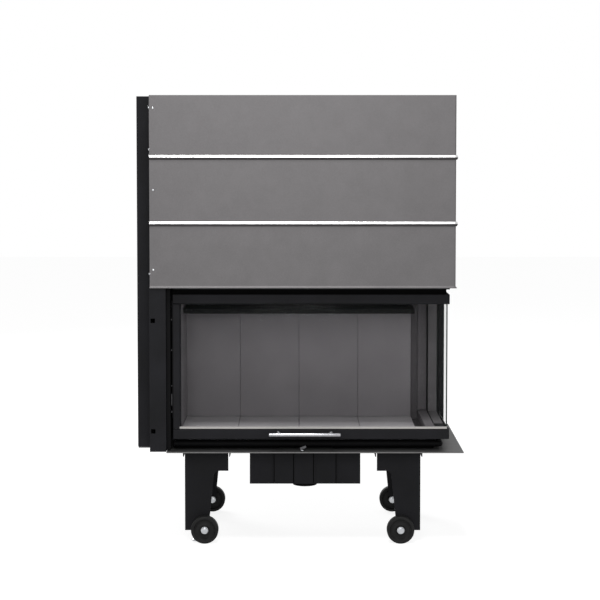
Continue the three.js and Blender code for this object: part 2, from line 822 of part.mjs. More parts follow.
function handle() {
  const barY = doorFront - handleStandoff;
  const bar = pinAlongX(
    handleCentreX - handleLength / 2, handleCentreX + handleLength / 2,
    barY, handleZ, handleRadius, roundSteps);
  const posts = [-1, 1].map((side) => pinAlongY(
    barY, doorFront - gap, handleCentreX + side * postSpacing / 2, handleZ, postRadius, smallSteps));
  addPiece('handle', join(bar, ...posts), stainless);
}

function roller(name, x, y, z) {
  const half = rollerWidth / 2;
  const tread = half - rollerEdge;
  const profile = [
    [rollerBore, -half], [rollerRadius - rollerEdge, -half], [rollerRadius, -tread],
    [rollerRadius, tread], [rollerRadius - rollerEdge, half], [rollerBore, half],
  ];
  addPiece(name, turnedAlongX(profile, barSteps).translate(x, y, z), zincSteel);
}

function leftCarriage() {
  const plateX = doorLeft - gap - carriageSheet;
  const armFront = channelFront + channelSpan + carriageSheet;
  const armBack = armFront + carriageSheet;
  const plate = block(plateX, rollerY - rollerRadius, carriageBottom, doorLeft - gap, armBack, carriageTop);
  const arm = block(
    leftCableX - lugWidth / 2, armFront, carriageTop - armHeight, doorLeft - gap, armBack, carriageTop);
  const lug = block(
    leftCableX - lugWidth / 2, armFront, carriageTop - armHeight + carriageMargin,
    leftCableX + lugWidth / 2, leftCableY + lugWidth / 2, carriageTop);
  const rollerX = channelMouthX - gap - rollerInset - rollerWidth / 2;
  const axles = [lowerRollerZ, upperRollerZ].map((z) => pinAlongX(
    rollerX - rollerWidth / 2, plateX + past, rollerY, z, rollerAxle));
  addPiece('left_carriage', join(plate, arm, lug, ...axles), firedSteel);
  roller('left_lower_roller', rollerX, rollerY, lowerRollerZ);
  roller('left_upper_roller', rollerX, rollerY, upperRollerZ);
}

function rightCarriage() {
  const plateX = rightChannelX - channelDepth - carriageClearance;
  const cross = block(
    doorRight - doorSideWidth, doorBack + gap, carriageBottom,
    plateX, doorBack + gap + carriageSheet, carriageTop);
  const plate = block(
    plateX - carriageSheet, doorBack + gap, carriageBottom,
    plateX, rightRollerY + rollerRadius, carriageTop);
  const lug = block(
    rightCableX - lugWidth / 2, rightCableY - lugWidth / 2, carriageTop - armHeight + carriageMargin,
    plateX, rightCableY + lugWidth / 2, carriageTop);
  const rollerX = rightChannelX - channelDepth + gap + rollerInset + rollerWidth / 2;
  const axles = [lowerRollerZ, upperRollerZ].map((z) => pinAlongX(
    plateX - past, rollerX + rollerWidth / 2, rightRollerY, z, rollerAxle));
  addPiece('right_carriage', join(cross, plate, lug, ...axles), firedSteel);
  roller('right_lower_roller', rollerX, rightRollerY, lowerRollerZ);
  roller('right_upper_roller', rollerX, rightRollerY, upperRollerZ);
}

// ---------------------------------------------------------------- guides and balance

function guideRails() {
  const channel = (mouthX, backX, front) => folded(
    [[mouthX, front], [backX, front], [backX, front + channelSpan], [mouthX, front + channelSpan]],
    Math.sign(backX - mouthX) * channelWeb);
  const top = frameBottom - gap;
  const left = channel(channelMouthX, channelBackX, channelFront);
  const right = channel(rightChannelX - channelDepth, rightChannelX, rightChannelY);
  addPiece('left_guide_rail', raise(left, standZ, top), firedSteel);
  addPiece('right_guide_rail', raise(right, standZ, top), firedSteel);
}

function pulley(name, x, y) {
  const half = pulleyWidth / 2;
  const hub = half + pulleyHubProud;
  const web = half - pulleyWebRecess;
  const rim = pulleyPitchRadius + pulleyRim;
  const land = rim - pulleyRimWidth;
  const groove = arc(0, pulleyPitchRadius, cableRadius + gap, 180, 360, 4).map(([a, r]) => [r, a]);
  const profile = [
    [pulleyBore, -hub], [pulleyHubRadius, -hub], [pulleyHubRadius, -web], [land - pulleyWebRecess, -web],
    [land, -half], [rim, -half], ...groove, [rim, half], [land, half], [land - pulleyWebRecess, web],
    [pulleyHubRadius, web], [pulleyHubRadius, hub], [pulleyBore, hub],
  ];
  addPiece(name, turnedAlongX(profile, pulleySteps).translate(x, y, pulleyZ), zincSteel);
}

function pulleyBracket(name, x, y, side) {
  const halfInside = pulleyWidth / 2 + pulleyHubProud + gap;
  const halfOutside = halfInside + bracketSheet;
  const top = frameBottom - gap;
  const outerEnd = side * (halfHood - 2 * hoodSheet - 2 * gap);
  const [left, right] = [Math.min(x - halfOutside, outerEnd), Math.max(x + halfOutside, outerEnd)];
  const cheeks = [x - halfOutside, x + halfInside].map((x0) => block(
    x0, y - bracketWidth / 2, pulleyZ - bracketWidth / 2,
    x0 + bracketSheet, y + bracketWidth / 2, top));
  addPiece(name, join(
    block(left, y - bracketLength / 2, top - bracketSheet, right, y + bracketLength / 2, top), ...cheeks,
    pinAlongX(x - halfOutside + past, x + halfOutside - past, y, pulleyZ, pulleyAxle)), firedSteel);
}

// the cable's weight run carries on over the pulley as a half turn
function cables(side, x, doorY) {
  const pulleyY = doorY + pulleyPitchRadius;
  const weightY = doorY + 2 * pulleyPitchRadius;
  addPiece(
    `${side}_door_cable`,
    pinUp(carriageTop + gap, pulleyZ - gap, x, doorY, cableRadius, cableSides), zincSteel);
  const turn = arc(pulleyY, pulleyZ, pulleyPitchRadius, 180, 0, cableTurnSteps)
    .map(([y, z]) => new THREE.Vector3(x, y, z));
  const run = [...turn, new THREE.Vector3(x, weightY, weightTop + gap)];
  const rings = run.map((centre, i) => {
    const before = run[Math.max(i - 1, 0)];
    const after = run[Math.min(i + 1, run.length - 1)];
    const along = i === 0 ? new THREE.Vector3(0, 0, 1) : after.clone().sub(before).normalize();
    const across = new THREE.Vector3(0, -along.z, along.y);
    return Array.from({ length: cableSides }, (_, k) => {
      const angle = 2 * Math.PI * k / cableSides;
      return [
        x + cableRadius * Math.cos(angle),
        centre.y + across.y * cableRadius * Math.sin(angle),
        centre.z + across.z * cableRadius * Math.sin(angle),
      ];
    });
  });
  const body = loft(rings);
  const end = (rings.length - 1) * cableSides;
  for (let k = 1; k < cableSides - 1; k++) {
    body.index.push(0, k, k + 1);
    body.index.push(end, end + k + 1, end + k);
  }
  addPiece(`${side}_weight_cable`, skin(body), zincSteel);
  addPiece(`${side}_weight`, block(
    x - weightWidth / 2, weightY - weightDepth / 2, weightTop - weightHeight,
    x + weightWidth / 2, weightY + weightDepth / 2, weightTop), castIron);
}

// ---------------------------------------------------------------- combustion air

function airBox() {
  const [left, right] = [airBoxCentreX - airBoxWidth / 2, airBoxCentreX + airBoxWidth / 2];
  const back = airBoxFront + airBoxDepth;
  const top = baseBottom - gap;
  const outside = block(left, airBoxFront, airBoxBottom, right, back, top);
  const inside = block(
    left + airBoxSheet, airBoxFront + airBoxSheet, airBoxBottom + airBoxSheet,
    right - airBoxSheet, back - airBoxSheet, top + past);
  const outlet = pinUp(
    airBoxBottom - past, airBoxBottom + airBoxSheet + past, airBoxCentreX, airBoxFront + airBoxDepth / 2,
    spigotRadius - spigotWall, roundSteps);
  const creases = Array.from({ length: creaseCount }, (_, i) => {
    const x = airBoxCentreX + (i - (creaseCount - 1) / 2) * creaseSpacing;
    return block(
      x - creaseDepth, airBoxFront - past, airBoxBottom - past,
      x + creaseDepth, airBoxFront + creaseDepth, top + past);
  });
  addPiece('air_box', cut(outside, inside, outlet, ...creases), blackEnamel);
}

function airSpigot() {
  const top = airBoxBottom - gap;
  const inner = spigotRadius - spigotWall;
  addPiece('air_spigot', turned([
    [inner, spigotBottom], [spigotRadius, spigotBottom], [spigotRadius, top - spigotWall],
    [spigotRadius + spigotFlange, top - spigotWall], [spigotRadius + spigotFlange, top], [inner, top],
  ]).translate(airBoxCentreX, airBoxFront + airBoxDepth / 2, 0), firedSteel);
}

function airLever() {
  const z = baseTop + leverHeight;
  const half = leverWidth / 2;
  const bar = [
    [-half, 0], ...arc(0, leverTipY - leverPivotY + half, half, 180, 360, noseSteps), [half, 0],
  ];
  const lever = cut(
    join(
      raise(bar, 0, leverThickness),
      raise(circle(0, 0, leverBossRadius, barSteps), 0, leverThickness),
      raise(rectangle(-half, 0, half, airInletSetback), 0, leverThickness),
      raise(circle(0, airInletSetback, shutterRadius), 0, leverThickness)),
    pinUp(-past, leverThickness + past, 0, 0, leverPinRadius + gap));
  lever.rotateZ(THREE.MathUtils.degToRad(leverAngle)).translate(leverX, leverPivotY, z);
  addPiece('air_lever', lever, zincSteel);
}

// ---------------------------------------------------------------- under-frame

// in what follows side is -1 on the left and 1 on the right, end is -1 in front and 1 behind

const footY = (end) => (end < 0 ? legFront + footSetback : legBack - footSetback);

// front and back face of the wheels at one end
function wheelSpan(end) {
  const near = end < 0 ? legFront - wheelClearance : legBack + wheelClearance;
  return end < 0 ? [near - wheelWidth, near] : [near, near + wheelWidth];
}

// one folded leg frame: a beam under the base plate, a plate at each end and the wheels' welded axles
function leg(name, side) {
  const across = (x) => side * (legOuterX - x);
  const top = baseBottom - gap;
  const outline = [
    [0, legBottom], [legToeWidth, legBottom], [legShinWidth, legShinZ],
    ...arc(legKneeWidth + legFillet, legNotchZ - legFillet, legFillet, 180, 90, cornerSteps),
    [legTopWidth, legNotchZ], [legTopWidth, top], [0, top],
  ].map(([x, z]) => [across(x), z]);
  const plates = [[legFront, 1], [legBack, -1]].map(([y, inwards]) => runBack(
    outline, Math.min(y, y + inwards * legSheet), Math.max(y, y + inwards * legSheet)));
  const folds = [[legFront, legFront + legFold], [legBack - legFold, legBack]].map(([y0, y1]) => block(
    Math.min(across(0), across(legSheet)), y0, legBottom, Math.max(across(0), across(legSheet)), y1, top));
  const beamLine = [
    [-beamMargin, top - beamHeight], [-beamMargin, top], [legTopWidth + beamMargin, top],
    [legTopWidth + beamMargin, top - beamHeight],
  ].map(([x, z]) => [across(x), z]);
  const beam = runBack(folded(beamLine, side * legSheet), legFront - beamMargin, legBack + beamMargin);
  const tabs = [-1, 1].map((end) => {
    const near = end < 0 ? legFront + legSheet : legBack - legSheet;
    const far = footY(end) - end * footRadius;
    return cut(
      block(side * footX - footRadius, Math.min(near, far), footTabZ,
        side * footX + footRadius, Math.max(near, far), footTabZ + footTabThickness),
      pinUp(
        footTabZ - past, footTabZ + footTabThickness + past,
        side * footX, footY(end), footStemRadius + gap));
  });
  const axles = [-1, 1].map((end) => {
    const [y0, y1] = wheelSpan(end);
    return end < 0
      ? pinAlongY(y0 - axleProtrusion, legFront + legSheet, side * wheelX, wheelZ, axleRadius)
      : pinAlongY(legBack - legSheet, y1 + axleProtrusion, side * wheelX, wheelZ, axleRadius);
  });
  addPiece(name, join(...plates, ...folds, beam, ...tabs, ...axles), blackEnamel);
}

function wheel(name, side, end) {
  const half = wheelWidth / 2;
  const web = wheelWebThickness / 2;
  const rim = wheelRadius - wheelRimWall;
  const tread = half - wheelTreadEdge;
  const hub = half + wheelClearance - gap;
  const [inner, outer] = end < 0 ? [half, hub] : [hub, half];
  const profile = [
    [wheelBore, -inner], [wheelHubRadius, -inner], [wheelHubRadius + wheelHubSlope, -web],
    [rim - wheelRimSlope, -web], [rim, -half], [wheelRadius - wheelTreadEdge, -half], [wheelRadius, -tread],
    [wheelRadius, tread], [wheelRadius - wheelTreadEdge, half], [rim, half], [rim - wheelRimSlope, web],
    [wheelHubRadius + wheelHubSlope, web], [wheelHubRadius, outer], [wheelBore, outer],
  ];
  const [y0, y1] = wheelSpan(end);
  addPiece(name, turnedAlongY(profile).translate(side * wheelX, (y0 + y1) / 2, wheelZ), blackNylon);
}

function foot(name, side, end) {
  const profile = [
    [0, 0], [footRadius - footEdge, 0], [footRadius, footEdge], [footRadius, footPadHeight - footShoulder],
    [footStemRadius + footShoulder, footPadHeight], [footStemRadius, footPadHeight + footNeck],
    [footStemRadius, footStemHeight], [0, footStemHeight],
  ];
  const stem = new THREE.LatheGeometry(points(profile), smallSteps).rotateX(Math.PI / 2);
  addPiece(name, stem.translate(side * footX, footY(end), side > 0 ? rightFootLift : 0), zincSteel);
}

// ---------------------------------------------------------------- assembly

basePlate();
hood();
leftFrontPanel();
leftCasing();
rightCasing();
rearShield();
topFrame();
plinth();
lowerFrameRail();
fireboxShell();
lining();
smokeDome();
flueCollar();
doorRails();
doorStiles();
doorGlass();
sideGlassRetainer();
handle();
leftCarriage();
rightCarriage();
guideRails();
pulley('left_pulley', leftCableX, leftCableY + pulleyPitchRadius);
pulley('right_pulley', rightCableX, rightCableY + pulleyPitchRadius);
pulleyBracket('left_pulley_bracket', leftCableX, leftCableY + pulleyPitchRadius, -1);
pulleyBracket('right_pulley_bracket', rightCableX, rightCableY + pulleyPitchRadius, 1);
cables('left', leftCableX, leftCableY);
cables('right', rightCableX, rightCableY);
airBox();
airSpigot();
airLever();
for (const [sideName, side] of [['left', -1], ['right', 1]]) {
  leg(`${sideName}_leg`, side);
  for (const [endName, end] of [['front', -1], ['rear', 1]]) {
    wheel(`${sideName}_${endName}_wheel`, side, end);
    foot(`${sideName}_${endName}_foot`, side, end);
  }
}

// origin: bottom centre of the whole object
const foremost = doorFront - handleStandoff - handleRadius;
const rearmost = wheelSpan(1)[1] + axleProtrusion;
const leftmost = -halfHood - leftCasingStep;
group.position.set(-(leftmost + baseRight) / 2, -(foremost + rearmost) / 2, 0);

export default group;
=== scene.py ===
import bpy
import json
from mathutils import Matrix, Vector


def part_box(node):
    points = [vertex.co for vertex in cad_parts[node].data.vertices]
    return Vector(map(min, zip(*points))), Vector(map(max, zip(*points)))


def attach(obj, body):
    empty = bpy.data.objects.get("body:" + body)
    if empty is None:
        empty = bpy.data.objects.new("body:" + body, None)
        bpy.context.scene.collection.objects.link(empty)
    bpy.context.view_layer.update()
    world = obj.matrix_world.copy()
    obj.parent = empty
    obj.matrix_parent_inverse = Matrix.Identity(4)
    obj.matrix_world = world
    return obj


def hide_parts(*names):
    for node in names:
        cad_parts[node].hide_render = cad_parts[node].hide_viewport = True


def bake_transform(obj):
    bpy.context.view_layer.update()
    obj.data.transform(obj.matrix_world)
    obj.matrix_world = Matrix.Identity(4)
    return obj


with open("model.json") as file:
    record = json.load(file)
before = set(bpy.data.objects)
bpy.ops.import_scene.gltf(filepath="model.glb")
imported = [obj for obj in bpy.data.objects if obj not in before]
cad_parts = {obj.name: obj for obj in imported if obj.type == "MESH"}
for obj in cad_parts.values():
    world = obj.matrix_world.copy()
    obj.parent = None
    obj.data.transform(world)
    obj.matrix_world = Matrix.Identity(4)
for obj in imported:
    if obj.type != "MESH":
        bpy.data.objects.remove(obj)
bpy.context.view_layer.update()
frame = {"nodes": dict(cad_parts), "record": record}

import bpy
import bmesh
import json
import math
from mathutils import Matrix, Vector

scene = bpy.context.scene
nodes = frame["nodes"]
slotOf = {part["node"]: part["material_slot"] for part in frame["record"]["subparts"]}
bodyOf = {node: body for body, members in frame["record"]["behaviour"]["bodies"].items() for node in members}
mm = 0.001
weldDistance = 0.01 * mm
fullTurn = 2 * math.pi


# sRGB hex to the linear colour that shaders take
def linear(code, alpha=1.0):
    channels = [int(code[i:i + 2], 16) / 255 for i in (1, 3, 5)]
    return [c / 12.92 if c <= 0.04045 else ((c + 0.055) / 1.055) ** 2.4 for c in channels] + [alpha]


def addNode(tree, kind, inputs=None, **settings):
    node = tree.nodes.new(kind)
    for name, value in settings.items():
        setattr(node, name, value)
    for name, value in (inputs or {}).items():
        if isinstance(value, bpy.types.NodeSocket):
            tree.links.new(value, node.inputs[name])
        else:
            node.inputs[name].default_value = value
    return node


def startMaterial(name):
    material = bpy.data.materials.new(name)
    material.use_nodes = True
    tree = material.node_tree
    tree.nodes.clear()
    place = addNode(tree, "ShaderNodeTexCoord").outputs["Object"]
    return material, tree, place


# closes a material; the height moves the skin by a depth in millimetres
def endMaterial(tree, inputs, height=None, depth=0.0):
    if height is not None:
        bump = addNode(tree, "ShaderNodeBump", {"Height": height, "Distance": depth * mm, "Strength": 1.0})
        inputs["Normal"] = bump.outputs["Normal"]
    shader = addNode(tree, "ShaderNodeBsdfPrincipled", inputs)
    addNode(tree, "ShaderNodeOutputMaterial", {"Surface": shader.outputs["BSDF"]})


def noise(tree, place, size, detail=3.0, stretch=(1, 1, 1)):
    scaled = addNode(tree, "ShaderNodeMapping", {"Vector": place, "Scale": stretch})
    texture = addNode(tree, "ShaderNodeTexNoise",
                      {"Vector": scaled.outputs["Vector"], "Scale": 1 / (size * mm), "Detail": detail})
    return texture.outputs["Fac"]


def ramp(tree, value, low, high, stops=(0.3, 0.7)):
    node = addNode(tree, "ShaderNodeValToRGB", {"Fac": value})
    node.color_ramp.elements[0].position = stops[0]
    node.color_ramp.elements[0].color = low
    node.color_ramp.elements[1].position = stops[1]
    node.color_ramp.elements[1].color = high
    return node.outputs["Color"]


def spread(tree, value, low, high):
    node = addNode(tree, "ShaderNodeMapRange", {"Value": value, "To Min": low, "To Max": high})
    return node.outputs["Result"]


# aluminised steel sheet, skin passed: soft satin grey, cloudy mill marks and a faint rolling grain
def aluminisedSheet():
    material, tree, place = startMaterial("aluminised steel sheet")
    cloud = noise(tree, place, 60, 3)
    spangle = noise(tree, place, 2.4, 4)
    rolled = noise(tree, place, 1.6, 3, (0.04, 1, 1))  # rolled along X, drawn coarser than real
    tone = addNode(tree, "ShaderNodeMix", {
        "Factor": 0.3, "A": ramp(tree, cloud, linear("#525051"), linear("#595758")),
        "B": ramp(tree, spangle, linear("#494748"), linear("#605e5f"))}, data_type="RGBA")
    endMaterial(tree, {"Base Color": tone.outputs["Result"], "Metallic": 0.5,
                       "Roughness": spread(tree, cloud, 0.46, 0.52)}, rolled, 0.03)
    return material


# heat-proof black paint on sheet: matt, a little orange peel, rubbed slightly lighter in patches
def heatproofPaint():
    material, tree, place = startMaterial("heat-proof black paint")
    peel = noise(tree, place, 1.6, 3)
    patch = noise(tree, place, 110, 4)
    endMaterial(tree, {"Base Color": ramp(tree, patch, linear("#0e0e10"), linear("#17171a")),
                       "Roughness": spread(tree, patch, 0.6, 0.76), "Specular IOR Level": 0.12}, peel, 0.08)
    return material


# primed welded steel: darker and flatter than the paint, with a scaly grain
def primedSteel():
    material, tree, place = startMaterial("primed black steel")
    scale = noise(tree, place, 6, 6)
    endMaterial(tree, {"Base Color": ramp(tree, scale, linear("#070708"), linear("#0e0e0f")),
                       "Roughness": spread(tree, scale, 0.6, 0.85), "Specular IOR Level": 0.08}, scale, 0.15)
    return material


# hot rolled plate, pickled: grey mill surface with streaks along the rolling direction
def rolledPlate():
    material, tree, place = startMaterial("rolled steel plate")
    streak = noise(tree, place, 14, 5, (0.08, 1, 1))
    grain = noise(tree, place, 1.6, 3)
    endMaterial(tree, {"Base Color": ramp(tree, streak, linear("#2c2c2c"), linear("#3c3c3c")),
                       "Metallic": 0.4,
                       "Roughness": spread(tree, grain, 0.4, 0.6)}, grain, 0.05)
    return material


# cast refractory concrete: fine grey aggregate, cloudy, with pin holes
# one pair of shades is for the cloud, one for the grain
def refractoryConcrete(name, cloudShades, grainShades):
    material, tree, place = startMaterial(name)
    cloud = noise(tree, place, 120, 5)
    sand = noise(tree, place, 1.3, 3)
    cells = addNode(tree, "ShaderNodeTexVoronoi", {"Vector": place,
                                                   "Scale": 1 / (9 * mm)}).outputs["Distance"]
    pits = addNode(tree, "ShaderNodeMath", {0: cells, 1: 0.1}, operation="GREATER_THAN").outputs[0]
    body = addNode(tree, "ShaderNodeMix", {
        "Factor": 0.35, "A": ramp(tree, cloud, *[linear(shade) for shade in cloudShades]),
        "B": ramp(tree, sand, *[linear(shade) for shade in grainShades])}, data_type="RGBA")
    height = addNode(tree, "ShaderNodeMath", {0: sand, 1: pits}, operation="MULTIPLY").outputs[0]
    endMaterial(tree, {"Base Color": body.outputs["Result"], "Roughness": 0.95, "Specular IOR Level": 0.2},
                height, 0.06)
    return material


# upper half of each rolled bead: bright smooth metal, a painted highlight of the top light along the crest
def burnishedBead():
    material, tree, place = startMaterial("bead crest, painted highlight")
    rubbed = noise(tree, place, 3, 3, (0.02, 1, 1))
    endMaterial(tree, {"Base Color": ramp(tree, rubbed, linear("#c2c1c1"), linear("#dddcdc")),
                       "Metallic": 1.0,
                       "Roughness": spread(tree, rubbed, 0.24, 0.34)}, rubbed, 0.005)
    return material


# lower half of each rolled bead: darker dull sheet, painted shade under the crest
def dulledCrease():
    material, tree, place = startMaterial("bead underside, painted shade")
    smear = noise(tree, place, 20, 4, (0.2, 1, 1))
    endMaterial(tree, {"Base Color": ramp(tree, smear, linear("#312f30"), linear("#3e3c3d")),
                       "Metallic": 0.2,
                       "Roughness": 0.7, "Specular IOR Level": 0.2}, smear, 0.03)
    return material


# laser-cut plate edge with fine upright cut marks, lighter than the plate: a painted highlight on the front
# edge that faces the light
def cutEdge():
    material, tree, place = startMaterial("laser-cut steel edge, painted highlight")
    marks = noise(tree, place, 1.4, 3, (1, 1, 0.05))
    endMaterial(tree, {"Base Color": ramp(tree, marks, linear("#525151"), linear("#676666")),
                       "Metallic": 0.6,
                       "Roughness": 0.42}, marks, 0.05)
    return material


# the deepest black of the piece, no shine: painted shade on faces that lie in shadow at the firebox mouth,
# the door neck, the rail tops and the floor's front ends
def blackSeal():
    material, tree, place = startMaterial("painted shade black")
    fibre = noise(tree, place, 1.5, 4, (0.3, 1, 1))
    endMaterial(tree, {"Base Color": ramp(tree, fibre, linear("#030303"), linear("#070707")),
                       "Roughness": 0.95,
                       "Specular IOR Level": 0.05}, fibre, 0.2)
    return material


# woven glass fibre tape with the weave standing out; its pale tone is a painted highlight along the foot of
# the glass
def glassTape():
    material, tree, place = startMaterial("glass-fibre tape, painted highlight")
    weave = addNode(tree, "ShaderNodeTexWave", {"Vector": place, "Scale": 1 / (4 * mm), "Distortion": 1.0},
                    bands_direction="DIAGONAL").outputs["Fac"]
    endMaterial(tree, {"Base Color": ramp(tree, weave, linear("#8b8987"), linear("#a5a3a0")),
                       "Roughness": 0.8,
                       "Specular IOR Level": 0.3}, weave, 0.2)
    return material


# grey coated sheet inside the door: smoother than the lining
def coatedSheet():
    material, tree, place = startMaterial("grey coated sheet")
    cloud = noise(tree, place, 60, 3)
    endMaterial(tree, {"Base Color": ramp(tree, cloud, linear("#4a484a"), linear("#575557")),
                       "Roughness": 0.6,
                       "Specular IOR Level": 0.3}, noise(tree, place, 1.2, 2), 0.04)
    return material


# sand-cast grey iron: coarse skin left by the mould
def castIron():
    material, tree, place = startMaterial("sand-cast iron")
    skin = noise(tree, place, 2.6, 6)
    endMaterial(tree, {"Base Color": ramp(tree, noise(tree, place, 70, 3), linear("#28282a"),
                                          linear("#38383a")),
                       "Metallic": 0.3, "Roughness": spread(tree, skin, 0.6, 0.85)}, skin, 0.4)
    return material


# glass ceramic pane: nearly clear, a sharp reflection and a grey-green cast
def glassCeramic():
    material, tree, place = startMaterial("glass ceramic")
    haze = noise(tree, place, 160, 2)
    endMaterial(tree, {"Base Color": linear("#1c201e"), "Roughness": spread(tree, haze, 0.02, 0.05),
                       "IOR": 1.5, "Alpha": 0.06, "Specular IOR Level": 0.2})
    return material


# the pane's ground edge: frosted, pale grey-green where the light runs out of it
def groundEdge():
    material, tree, place = startMaterial("ground glass edge")
    frost = noise(tree, place, 1.5, 3)
    endMaterial(tree, {"Base Color": ramp(tree, frost, linear("#252b29"), linear("#363d3a")),
                       "Roughness": 0.5,
                       "IOR": 1.5, "Specular IOR Level": 0.2}, frost, 0.1)
    return material


# brushed stainless bar: fine scratches round the bar, drawn coarser than real so that they show
def brushedStainless():
    material, tree, place = startMaterial("brushed stainless steel")
    scratches = noise(tree, place, 0.9, 4, (1, 0.05, 0.05))
    endMaterial(tree, {"Base Color": linear("#98989b"), "Metallic": 1.0,
                       "Roughness": spread(tree, scratches, 0.18, 0.34)}, scratches, 0.03)
    return material


# bright zinc plating: bluish metal with cloudy patches
def zincPlate():
    material, tree, place = startMaterial("bright zinc plate")
    cloud = noise(tree, place, 18, 4)
    endMaterial(tree, {"Base Color": ramp(tree, cloud, linear("#a2a4a8"), linear("#c6c8ca")),
                       "Metallic": 1.0,
                       "Roughness": spread(tree, cloud, 0.25, 0.42)}, noise(tree, place, 0.8, 2), 0.03)
    return material


# oiled screws of the carriages: phosphated steel, dark with a greasy gleam
def phosphatedSteel():
    material, tree, place = startMaterial("phosphated steel")
    bloom = noise(tree, place, 4, 4)
    endMaterial(tree, {"Base Color": ramp(tree, bloom, linear("#3a3a3c"), linear("#5a5a5c")),
                       "Metallic": 0.8,
                       "Roughness": spread(tree, bloom, 0.35, 0.55)}, bloom, 0.03)
    return material


# stranded wire rope: the twist of the strands as slanting bands
def wireRope():
    material, tree, place = startMaterial("steel wire rope")
    twist = addNode(tree, "ShaderNodeTexWave", {"Vector": place, "Scale": 1 / (9 * mm), "Distortion": 0.5},
                    bands_direction="DIAGONAL").outputs["Fac"]
    endMaterial(tree, {"Base Color": ramp(tree, twist, linear("#6d6f72"), linear("#b3b5b8")),
                       "Metallic": 1.0,
                       "Roughness": 0.4}, twist, 0.3)
    return material


# moulded black nylon: deep grey-black with a fine spark-eroded grain
def mouldedNylon():
    material, tree, place = startMaterial("moulded black nylon")
    grain = noise(tree, place, 1.1, 3)
    endMaterial(tree, {"Base Color": ramp(tree, noise(tree, place, 30, 3), linear("#0f0f0f"),
                                          linear("#181818")),
                       "Roughness": spread(tree, grain, 0.5, 0.68), "Specular IOR Level": 0.15}, grain, 0.08)
    return material


finishes = {
    "grey_sheet": aluminisedSheet(), "black_enamel": heatproofPaint(), "fired_steel": primedSteel(),
    "base_steel": rolledPlate(),
    "refractory": refractoryConcrete("refractory concrete", ("#777477", "#838083"), ("#6c696c", "#8e8b8e")),
    "pale_sheet": coatedSheet(), "cast_iron": castIron(), "ceramic_glass": glassCeramic(),
    "stainless": brushedStainless(), "zinc_steel": zincPlate(), "steel_cable": wireRope(),
    "wheel_black": mouldedNylon(),
}
glassEdge = groundEdge()
# painted light: a lighter copy of the lining for the floor slabs
floorConcrete = refractoryConcrete("refractory lining, painted floor light", ("#b2afb2", "#bebbbe"), ("#a3a0a3", "#c5c2c5"))
# painted shade: a darker copy of the lining for the right ledge and the rear right tile
sideConcrete = refractoryConcrete("refractory lining, painted side shade", ("#5a575a", "#656265"), ("#504d50", "#6c696c"))
# painted shade: a near-black copy of the lining for the baffle under the firebox top
baffleBoard = refractoryConcrete("baffle board, painted shade", ("#101010", "#161616"), ("#0c0c0c", "#1b1b1b"))
# painted shade: a darker copy of the lining for the corner filler boards
cornerFiller = refractoryConcrete("corner filler board, painted shade", ("#4d4a4d", "#565356"), ("#454245", "#5e5b5e"))
beadCrest, beadCrease, plateEdge = burnishedBead(), dulledCrease(), cutEdge()
seal, tape = blackSeal(), glassTape()
oiledSteel = phosphatedSteel()
for name, node in nodes.items():
    node.data.materials.clear()
    node.data.materials.append(finishes[slotOf[name]])
print("stage: finishes on the frame")


fastenerSizes = {"panRadius": 3.6, "panHeight": 2.0, "slot": 0.7, "nutFlats": 19.0, "nutHeight": 5.6}


# a vector in metres from millimetres
def at(x, y, z):
    return Vector((x, y, z)) * mm


def corners(node):
    low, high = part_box(node)
    return Vector(low), Vector(high)


# turns a bmesh into a named piece that rides on its body and stands for its CAD nodes
def makePiece(bm, name, body, slot, replaced=(), angle=35, outward=True, finish=None):
    bmesh.ops.remove_doubles(bm, verts=bm.verts, dist=weldDistance)
    if outward:
        bmesh.ops.recalc_face_normals(bm, faces=bm.faces)
    mesh = bpy.data.meshes.new(name)
    bm.to_mesh(mesh)
    bm.free()
    mesh.shade_smooth()
    mesh.set_sharp_from_angle(angle=math.radians(angle))
    mesh.materials.append(finish or finishes[slot])
    piece = bpy.data.objects.new(name, mesh)
    scene.collection.objects.link(piece)
    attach(piece, body)
    if replaced:
        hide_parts(*replaced)
    return piece


# rounds the piece's edges by a width in millimetres, wherever they turn by more than the angle
def easeEdges(piece, width, segments=2, angle=30):
    bevel = piece.modifiers.new("eased edges", "BEVEL")
    bevel.width = width * mm
    bevel.segments = segments
    bevel.limit_method = "ANGLE"
    bevel.angle_limit = math.radians(angle)
    bevel.harden_normals = True
    bevel.use_clamp_overlap = True
    return piece


# gives another finish to the faces picked by their centre (millimetres) and normal
def shadeFaces(piece, finish, picks):
    piece.data.materials.append(finish)
    for face in piece.data.polygons:
        if picks(face.center / mm, face.normal):
            face.material_index = len(piece.data.materials) - 1
    return piece


# the CAD mesh merged into whole faces, with its folds and cut edges eased
def easedCopy(node, width, finish=None):
    bm = bmesh.new()
    bm.from_mesh(nodes[node].data)
    bmesh.ops.remove_doubles(bm, verts=bm.verts, dist=weldDistance)
    bmesh.ops.dissolve_limit(bm, angle_limit=math.radians(0.5), verts=bm.verts, edges=bm.edges)
    piece = makePiece(bm, node + "_sheet", bodyOf[node], slotOf[node], (node,), outward=False, finish=finish)
    return easeEdges(piece, width)


def addBlock(bm, low, high):
    made = bmesh.ops.create_cube(bm, size=1)["verts"]
    bmesh.ops.scale(bm, verts=made, vec=high - low)
    bmesh.ops.translate(bm, verts=made, vec=(low + high) / 2)
    return made


# a profile of (radius, place along the axis) in millimetres, turned round a centre
def addTurned(bm, profile, centre, axis, steps, closed=True):
    along = Vector(axis).normalized()
    across = along.orthogonal().normalized()
    verts = [bm.verts.new(centre + (along * place + across * radius) * mm) for radius, place in profile]
    pairs = list(zip(verts, verts[1:])) + ([(verts[-1], verts[0])] if closed else [])
    edges = [bm.edges.new(pair) for pair in pairs]
    bmesh.ops.spin(bm, geom=verts + edges, cent=centre, axis=along, angle=fullTurn, steps=steps,
                   use_merge=True, dvec=(0, 0, 0))


